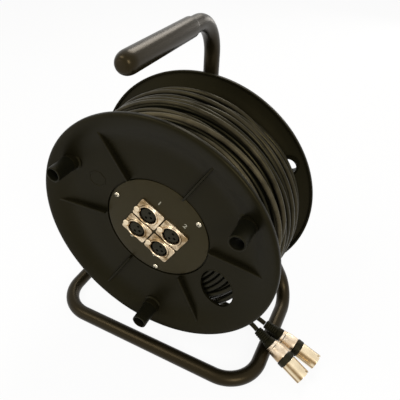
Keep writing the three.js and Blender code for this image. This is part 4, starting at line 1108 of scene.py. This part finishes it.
panel = turned(
    "painted_socket_panel",
    [(0, DISH_DEPTH, 0), (PANEL_R, DISH_DEPTH, 0.5), (PANEL_R, PANEL_BACK_Y, 0.3), (0, PANEL_BACK_Y, 0)],
    DRUM_PLACE,
    PANEL_PAINT,
)
wanted = [(BODY_HOLE_R, at, 48) for at in SOCKET_PLACES]
wanted += [(SCREW_HOLE_R, polar(SCREW_CENTRE_R, degrees, DISH_DEPTH), 24) for degrees in FOOT_ANGLES]
wanted += [(STEM_HOLE_R, at + LATCH_AT, 24) for at in SOCKET_PLACES]
holes = [round_cutter(radius, -THROUGH, THROUGH, DRUM_PLACE, at, sides) for radius, at, sides in wanted]
carve(panel, holes)
dress(panel, "drum", "panel_metal", "socket_panel")
print("panel holes:", len(holes))

# %% Numerals
MARK_PLACES = [(-15.2, 30.6), (19.5, 30.4), (-15.4, -37.2), (17.2, -37.2)]


def numeral(number, x, z):
    """A printed numeral, made a mesh and laid just proud of the panel."""
    curve = bpy.data.curves.new("numeral", "FONT")
    curve.body = str(number)
    curve.size = 7.6
    curve.align_x = "CENTER"
    curve.extrude = 0.04
    curve.offset = 0.22
    curve.resolution_u = 4
    words = bpy.data.objects.new("numeral", curve)
    mesh = bpy.data.meshes.new_from_object(words)
    bm = bmesh.new()
    bm.from_mesh(mesh)
    bpy.data.objects.remove(words)
    bmesh.ops.remove_doubles(bm, verts=bm.verts, dist=WELD)
    bmesh.ops.recalc_face_normals(bm, faces=bm.faces)
    bm.transform(Matrix.Translation((x, DISH_DEPTH - 0.05, z)) @ Matrix.Rotation(math.pi / 2, 4, "X"))
    return tie(to_object(f"channel_mark_{number}", bm, DRUM_PLACE, MARK_PAINT), "drum", "panel_metal")


for number, (x, z) in enumerate(MARK_PLACES, 1):
    mark = numeral(number, x, z)
    print("numeral", number, "faces:", len(mark.data.polygons))

# %% [markdown]
# ## Screws
# Pan heads are domes with a cross recess. A cross that was only painted on would look flat from the side,
# so two crossed wedges cut a real one, which catches the light. The recess walls take the wedges' black
# finish, as painted shade.

# %% Pan-head screws
HEAD_R = 3.3
HEAD_HEIGHT = 2.1
STEM_R = 1.75
STEM_LENGTH = 11
BEARING_PLATE_WALL = 3


def cut_cross(screw, place, size, top, turn, taper=1):
    """Two crossed wedges are cut out and leave their black finish on the recess walls, as painted shade."""
    wedges = []
    for quarter in (0, math.pi / 2):
        bm = block(size)
        for vert in bm.verts:
            if vert.co.y > 0:
                vert.co.x *= taper
        bm.transform(Matrix.Translation((0, top, 0)) @ Matrix.Rotation(turn + quarter, 4, "Y"))
        wedges.append(to_object("wedge", bm, place, INSERT_PLASTIC))
    carve(screw, wedges, keep="TRANSFER")


def make_screw(name, node, place, material, slot):
    outline = [
        (0, -HEAD_HEIGHT, 0),
        (1.5, -HEAD_HEIGHT, 1.2),
        (HEAD_R - 0.25, -0.95, 0.9),
        (HEAD_R, -0.1, 0.2),
        (HEAD_R - 0.1, 0, 0),
        (STEM_R, 0, 0.2),
        (STEM_R, STEM_LENGTH - 0.8, 0.4),
        (1.2, STEM_LENGTH, 0.2),
        (0, STEM_LENGTH, 0),
    ]
    screw = turned(name, outline, place, material, steps=32)
    cut_cross(screw, place, (4.2, 2.6, 0.9), 0.1 - HEAD_HEIGHT, turn=0.4, taper=0.35)
    return dress(screw, "drum", slot, node)


panel_seat_y = DISH_DEPTH - SEAT_GAP
hub_seat_y = DRUM_WIDTH - SEAT_Y + BEARING_PLATE_WALL + 2 * SEAT_GAP
for i, degrees in enumerate(FOOT_ANGLES, 1):
    head = DRUM_PLACE @ Matrix.Translation(polar(SCREW_CENTRE_R, degrees, panel_seat_y))
    head = head @ Matrix.Rotation(i, 4, "Y")
    make_screw(f"panel_screw_{i}_cross", f"panel_screw_{i}", head, SCREW_NICKEL, "nickel")
    back = DRUM_PLACE @ Matrix.Translation(polar(SCREW_CENTRE_R, degrees, hub_seat_y))
    back = back @ Matrix.Rotation(math.pi, 4, "Z")
    screw = make_screw(f"hub_screw_{i}_cross", f"hub_screw_{i}", back, ZINC_STEEL, "steel")
print("screw faces:", len(screw.data.polygons))

# %% [markdown]
# ## Chassis sockets
# A die-cast socket has a flat plate with round corners, a bezel that swells out of it round the mouth, a
# press tab on a stem, and a black insert with three contact holes. It could be sculpted as one skin, but
# a bevelled block with its mouth cut out and one spun cup for bezel and body give the same form in plain
# steps.

# %% Socket plate and its screws
PLATE_WALL = 2
PLATE_WIDTH = 31
PLATE_HEIGHT = 26
SOCKET_FACE = -SEAT_GAP - PLATE_WALL
SOCKET_DEPTH = 19
SOCKET_SCREW_AT = (12, -9.5)
BODY_R = 11.6
MOUTH_R = 10.3
CONTACT_HOLE_R = 1.6
RECESS_R = 4.3
RECESS_DEPTH = 1.7
TAB_R = 3.5
TAB_STEM_R = 1.5
TAB_STEM_LENGTH = 9
TAB_PROUD = 1.8


def latch_recess(place):
    """The round dip in the plate that the press tab sinks into."""
    return round_cutter(RECESS_R, SOCKET_FACE - 3, SOCKET_FACE + RECESS_DEPTH, place, LATCH_AT, sides=32)


def socket_plate(place):
    bm = block((PLATE_WIDTH, PLATE_WALL, PLATE_HEIGHT))
    bevel(bm, [e for e in bm.edges if abs(e.verts[0].co.y - e.verts[1].co.y) > 1], 2.5, segments=6)
    bevel(bm, [e for e in bm.edges if all(v.co.y < 0.1 - PLATE_WALL / 2 for v in e.verts)], 0.45)
    bmesh.ops.translate(bm, vec=(0, -SEAT_GAP - PLATE_WALL / 2, 0), verts=bm.verts)
    plate = to_object("plate", bm, place, CAST_NICKEL)
    mouth = round_cutter(BODY_R - 0.2, -8, 4, place)
    stem_hole = round_cutter(TAB_STEM_R + 0.2, SOCKET_FACE - 3, 2, place, LATCH_AT, sides=24)
    carve(plate, [mouth, latch_recess(place), stem_hole])
    return plate


def socket_screw(place, x, z):
    """A small countersunk screw in a corner of the plate."""
    outline = [(0, -0.15, 0), (1.9, -0.15, 0.3), (2.1, 0.1, 0.1), (1.4, 0.6, 0), (0, 0.6, 0)]
    at = place @ Matrix.Translation((x, SOCKET_FACE, z))
    screw = turned("screw", outline, at, CAST_NICKEL, steps=28)
    cut_cross(screw, at, (2.1, 0.8, 0.42), -0.15, turn=0.3)
    return screw


# %% Whole socket
def make_socket(number, at):
    place = DRUM_PLACE @ Matrix.Translation(at)
    name = f"socket_{number}"
    cup = [
        (0, SOCKET_DEPTH, 0),
        (BODY_R, SOCKET_DEPTH, 0.4),
        (BODY_R, -1.2, 0),
        (12.6, SOCKET_FACE + 0.3, 0),
        (13.4, SOCKET_FACE - 0.02, 0.4),
        (12.5, SOCKET_FACE - 0.3, 1.0),
        (11.9, SOCKET_FACE - 2.0, 0.9),
        (11.0, SOCKET_FACE - 2.2, 0.5),
        (MOUTH_R, SOCKET_FACE - 1.3, 0.5),
        (MOUTH_R, 17, 0.4),
        (0, 17, 0),
    ]
    cup = turned("cup", cup, place, CAST_NICKEL, steps=96)
    carve(cup, [latch_recess(place)])
    x, z = SOCKET_SCREW_AT
    parts = [socket_plate(place), cup, socket_screw(place, x, z), socket_screw(place, -x, -z)]
    shell = joined(f"{name}_cast_shell", parts)
    dress(shell, "drum", "nickel", f"{name}_shell")
    front = SOCKET_FACE - 0.6
    back = 16.7
    insert = [
        (0, front, 0),
        (3.0, front, 0.1),
        (6.7, front, 0.1),
        (6.9, front + 0.35, 0.1),
        (7.3, front + 0.35, 0.1),
        (8.2, front + 0.2, 0.3),
        (8.2, back - 2, 0.3),
        (9.6, back - 2, 0.2),
        (9.6, back, 0),
        (0, back, 0),
    ]
    insert = turned(f"{name}_contact_insert", insert, place, INSERT_PLASTIC, steps=64)
    contacts = [polar(CONTACT_RING_R, degrees) for degrees in CONTACT_ANGLES]
    carve(insert, [round_cutter(CONTACT_HOLE_R, front - 2, front + 8, place, at, 24) for at in contacts])
    dress(insert, "drum", "insert_plastic", f"{name}_insert")
    top = SOCKET_FACE - TAB_PROUD
    stem_end = SOCKET_FACE + TAB_STEM_LENGTH
    tab = [
        (0, top + 0.25, 0),
        (2.4, top + 0.05, 0.6),
        (2.9, top, 0.4),
        (TAB_R, top + 0.5, 0.5),
        (TAB_R, SOCKET_FACE, 0.2),
        (TAB_STEM_R, SOCKET_FACE, 0),
        (TAB_STEM_R, stem_end, 0.3),
        (0, stem_end, 0),
    ]
    tab = turned(f"{name}_press_tab", tab, place @ Matrix.Translation(LATCH_AT), TAB_NICKEL, steps=40)
    dress(tab, f"latch_{number}", "nickel", f"{name}_latch")
    return shell


for number, at in enumerate(SOCKET_PLACES, 1):
    shell = make_socket(number, at)
print("socket shell faces:", len(shell.data.polygons))

# %% [markdown]
# ## Winding
# Cable wound by hand fills the drum in layers that wander and cross. Rings side by side would look like a
# spring, so each cable is one unbroken line. Two neat layers of turns are laid first. The top turns
# wander, and wherever two of them cross, the later one rides up and presses the earlier one down.

# %% Flange sides and sweeps
WIND_STEPS = 96
STACK = 2 * CABLE_R + 0.1
rng = np.random.default_rng(11)


def side_y(radius):
    """Where a cable touches the inside of the front flange."""
    return dish_y(radius) + FLANGE_WALL + CABLE_R + 0.45


def sweep(turns, from_y, to_y, wander):
    """Places along the axis for a layer that wanders as a hand-guided cable does."""
    share = np.linspace(0, 1, int(turns * WIND_STEPS))
    ys = from_y + (to_y - from_y) * share
    for cycles in (turns * 0.37, turns * 0.81, turns * 1.45):
        ys = ys + wander * rng.uniform(0.5, 1) * np.sin(2 * np.pi * (cycles * share + rng.uniform()))
    low, high = sorted((from_y, to_y))
    return np.clip(ys, low, high)


# %% Layers of both cables
TOP_DROP = 0.6
TOP_RISE = 2.3
FIRST_DROP = 6.0
SECOND_DROP = 11.1
SETTLE_UP = 0.43
SETTLE_DOWN = 0.57
# Cable, turns, start and end along the axis, wander, and depth under the pile's profile
LAYER_PLAN = [
    (1, 15.5, 17.4, 108.9, 0.3, FIRST_DROP),
    (2, 15.5, 109.0, 18.2, 0.3, SECOND_DROP),
    (1, 7.6, WIND_BACK_Y, 62.0, 1.9, TOP_DROP),
    (2, 7.9, WIND_FRONT_Y, 66.0, 1.9, TOP_DROP),
    (1, 1.6, 62.0, 100.0, 3.0, TOP_DROP),
    (2, 1.3, 66.0, 30.0, 2.0, TOP_DROP),
]
layers = []
next_step = {1: 0, 2: WIND_STEPS // 3}
for cable, turns, from_y, to_y, wander, drop in LAYER_PLAN:
    ys = sweep(turns, from_y, to_y, wander)
    radii = wind_radius(ys) - drop
    layers.append({"cable": cable, "first": next_step[cable], "drop": drop, "ys": ys, "radii": radii})
    next_step[cable] += len(ys)

# %% Where two top turns cross, the later one rides over the earlier one and presses it down
tops = [layer for layer in layers if layer["drop"] == TOP_DROP]
columns = [[] for _ in range(WIND_STEPS)]
for layer in tops:
    layer["lift"] = np.zeros(len(layer["ys"]))
    for i in range(len(layer["ys"])):
        columns[(layer["first"] + i) % WIND_STEPS].append((layer, i))
crossings = 0
for column in columns:
    for k, (under, i) in enumerate(column):
        for over, j in column[k + 1 :]:
            apart = abs(under["ys"][i] - over["ys"][j])
            if apart < STACK:
                need = math.sqrt(STACK**2 - apart**2)
                under["lift"][i] -= SETTLE_DOWN * need
                over["lift"][j] += SETTLE_UP * need
                crossings += apart < 0.5
for layer in tops:
    layer["radii"] = layer["radii"] + np.clip(layer["lift"], -0.6 * STACK, TOP_RISE)
print("places where top turns cross:", crossings)

# %% Side spirals, seen through the finger windows
SPIRAL_FROM = BARREL_R + CABLE_R + 0.4


def spiral(outer_r, back):
    """Turns that climb the flange from the barrel to the first layer: places along the axis, and radii."""
    turns = (outer_r - SPIRAL_FROM) / (STACK + 0.15)
    radii = np.linspace(SPIRAL_FROM, outer_r, int(turns * WIND_STEPS))
    ys = side_y(radii)
    return DRUM_WIDTH - ys if back else ys, radii


def eased(values, window=7):
    """A running mean, so that a cable has no kinks where its layers meet."""
    padded = np.pad(values, window // 2, mode="edge")
    return np.convolve(padded, np.ones(window) / window, mode="valid")


for cable in (1, 2):
    parts = [layer for layer in layers if layer["cable"] == cable]
    climb_ys, climb_radii = spiral(float(parts[0]["radii"][0]) - STACK, back=cable == 2)
    ys = eased(np.concatenate([climb_ys] + [part["ys"] for part in parts]))
    radii = eased(np.concatenate([climb_radii] + [part["radii"] for part in parts]))
    first_step = parts[0]["first"] - len(climb_ys)
    angles = (first_step + np.arange(len(ys))) * 360 / WIND_STEPS
    points = [polar(r, a, y) + wind_hang(y) for r, a, y in zip(radii, angles, ys)]
    piece = cable_curve(f"wound_cable_{cable}", [points], DRUM_PLACE, WOUND_SHEATH, sides=10)
    tie(piece, "drum", "cable_sheath", f"cable_{cable}_winding")
    print("cable", cable, "turns:", round(len(points) / WIND_STEPS, 1))
    print("cable", cable, "length in m:", round(line_length(points) * MM, 2))

# %% [markdown]
# ## Oldest layers
# The oldest layers lie hidden under these. More turns could be laid, but few would ever be seen. One spun
# outline with a scallop for every turn stands for them, so that a look between the outer turns still
# finds cable.


# %% Scalloped core
CORE_PITCH = 5.6
CORE_FLOOR_R = BARREL_R + 1
CORE_CLEARANCE = 2.2


def scalloped(corners, pitch):
    """A run of half-round bumps along a line of [radius, y] corners, bulging to its left."""
    outline = []
    for (r1, y1), (r2, y2) in zip(corners, corners[1:]):
        start, end = Vector((r1, y1)), Vector((r2, y2))
        count = max(1, round((end - start).length / pitch))
        step = (end - start) / count
        out = Vector((-step.y, step.x)).normalized() * -1
        for k in range(count):
            for t in (0.02, 0.2, 0.5, 0.8, 0.98):
                lift = math.sqrt(max(0, 0.25 - (t - 0.5) ** 2)) * pitch
                outline.append(tuple(start + step * (k + t) + out * (lift - pitch / 2)))
    return outline


def core_radius(y):
    """The core's top, under the second layer."""
    return float(wind_radius(y)) - SECOND_DROP - STACK * 0.8


front_top, back_top = core_radius(18), core_radius(106)
core_corners = [
    (CORE_FLOOR_R, side_y(BARREL_R) + 2),
    (front_top, side_y(front_top) + CORE_CLEARANCE),
    *[(core_radius(y), y) for y in range(25, 85, 10)],
    (back_top, DRUM_WIDTH - side_y(back_top) - CORE_CLEARANCE),
    (CORE_FLOOR_R, DRUM_WIDTH - side_y(BARREL_R) - 2),
]
core_outline = scalloped(core_corners, CORE_PITCH)
core_outline += [(BARREL_R + SEAT_GAP, core_corners[end][1]) for end in (-1, 0)]
core_bm = spin_outline(core_outline, 96)
for vert in core_bm.verts:
    out = (math.hypot(vert.co.x, vert.co.z) - BARREL_R) / (WIND_LOW_R - BARREL_R)
    vert.co += wind_hang(vert.co.y) * min(1, out)
# The wound sheath leaves these lower layers dark, as painted shade.
core = to_object("wound_inner_layers", core_bm, DRUM_PLACE, WOUND_SHEATH)
dress(core, "drum", "cable_sheath", "winding_core")
print("core faces:", len(core.data.polygons))

# %% [markdown]
# ## Leads inside the barrel
# Each cable comes in through its hole in the barrel and forks to the two sockets of its row. Curves on
# the same points as the CAD source give the sheath its round section with the least work.

# %% Inner leads
HOLE_Y = 88
LEAD_BEND = 12
FORK_REACH = 26
TURN_R = BARREL_BORE_R - LEAD_BEND
back = DISH_DEPTH + SOCKET_DEPTH + SEAT_GAP
for number, side in enumerate((1, -1), 1):
    row_z = side * SOCKET_PITCH_Z / 2 - SOCKET_DROP
    fork = Vector((0, back + FORK_REACH, side * (TURN_R - CABLE_R)))
    trunk = [
        Vector((0, HOLE_Y, side * (BARREL_R - SEAT_GAP))),
        Vector((0, HOLE_Y, side * BARREL_BORE_R)),
        Vector((0, HOLE_Y - CABLE_R, side * TURN_R)),
        Vector((0, HOLE_Y - LEAD_BEND, side * (TURN_R - CABLE_R))),
        fork,
    ]
    runs = [trunk]
    for reach in (SOCKET_PITCH_X / 2, -SOCKET_PITCH_X / 2):
        runs.append([
            fork + Vector((0, CABLE_R, 0)),
            fork,
            Vector((reach * 0.7, back + FORK_REACH / 2, (fork.z + row_z) / 2)),
            Vector((reach, back + CABLE_R, row_z)),
            Vector((reach, back, row_z)),
        ])
    routes = [smooth_route(run, 24) for run in runs]
    lead = cable_curve(f"forked_lead_{number}", routes, DRUM_PLACE, TAIL_SHEATH, sides=10)
    tie(lead, "drum", "cable_sheath", f"inner_lead_{number}")
    print("lead", number, "runs:", len(routes))

# %% [markdown]
# ## Parts kept from the CAD model
# Flat and turned parts behind the drum already have their true shape, and drawing them again would add
# nothing. They only need a finish with some depth.

# %% Finishes for kept parts
kept = {
    **dict.fromkeys(("drum_barrel", "bearing_hub"), DRUM_PLASTIC),
    **dict.fromkeys(("axle", "spacer_sleeve", "rear_washer", "front_washer", "lock_nut"), ZINC_STEEL),
    **dict.fromkeys(("front_bush", "rear_bush"), BRONZE),
    "hub_plate": TUBE_COAT,
}
for name, node in nodes.items():
    node.data.materials.clear()
    node.data.materials.append(kept.get(name, TAIL_SHEATH))
print("kept parts:", len(kept))

# %% [markdown]
# ## Floor, light and background
# The product stands on white. Stronger lamps would bleach the object along with the floor. Here the
# camera sees the floor as nearly white in itself, so that only a faint contact shadow is left, while
# large soft lamps light the object at a plain level.


# %% Floor
FLOOR_GLOW = 0.93
FLOOR_GAP = 0.0003


def white_floor():
    shader = Shader("white_floor")
    lit = shader.node("ShaderNodeBsdfDiffuse", None, {"Color": (0.92, 0.92, 0.92, 1)})
    glow = shader.node("ShaderNodeEmission", None, {"Color": (1, 1, 1, 1), "Strength": 1.0})
    seen = (shader.seen() * FLOOR_GLOW).clamped()
    return shader.finish(shader.node("ShaderNodeMixShader", None, {0: seen, 1: lit, 2: glow}))


bm = bmesh.new()
bmesh.ops.create_grid(bm, x_segments=1, y_segments=1, size=6)
bmesh.ops.translate(bm, vec=(0, 0, -FLOOR_GAP), verts=bm.verts)
floor = to_object("floor", bm, Matrix.Identity(4), white_floor())

# %% World
studio = Shader("studio", bpy.data.worlds, "ShaderNodeOutputWorld")
dim = studio.node("ShaderNodeBackground", None, {"Color": (1, 0.985, 0.96, 1), "Strength": 0.28})
bright = studio.node("ShaderNodeBackground", None, {"Color": (1, 1, 1, 1), "Strength": 1.0})
both = studio.node("ShaderNodeMixShader", None, {0: studio.seen().clamped(), 1: dim, 2: bright})
bpy.context.scene.world = studio.finish(both)


# %% Lamps
LAMP_WHITE = (1, 0.97, 0.93)
LAMP_TARGET = Vector((0, 0, 0.16))


def soft_lamp(name, place, size, power):
    lamp = bpy.data.lights.new(name, "AREA")
    lamp.shape = "DISK"
    lamp.size = size
    lamp.energy = power
    lamp.color = LAMP_WHITE
    made = bpy.data.objects.new(name, lamp)
    made.location = place
    made.rotation_mode = "QUATERNION"
    made.rotation_quaternion = (LAMP_TARGET - Vector(place)).to_track_quat("-Z", "Y")
    bpy.context.scene.collection.objects.link(made)


soft_lamp("key", (-0.6, -0.75, 1.35), size=0.7, power=8)
soft_lamp("behind", (-0.15, 1.05, 1.35), size=0.8, power=11)
soft_lamp("low_behind", (0.3, 1.6, 0.45), size=0.5, power=3)
soft_lamp("right", (1.2, -1.1, 1.1), size=0.7, power=17)
soft_lamp("front", (-1.2, -1.5, 0.25), size=0.8, power=2)
print("lamps:", len(bpy.data.lights))
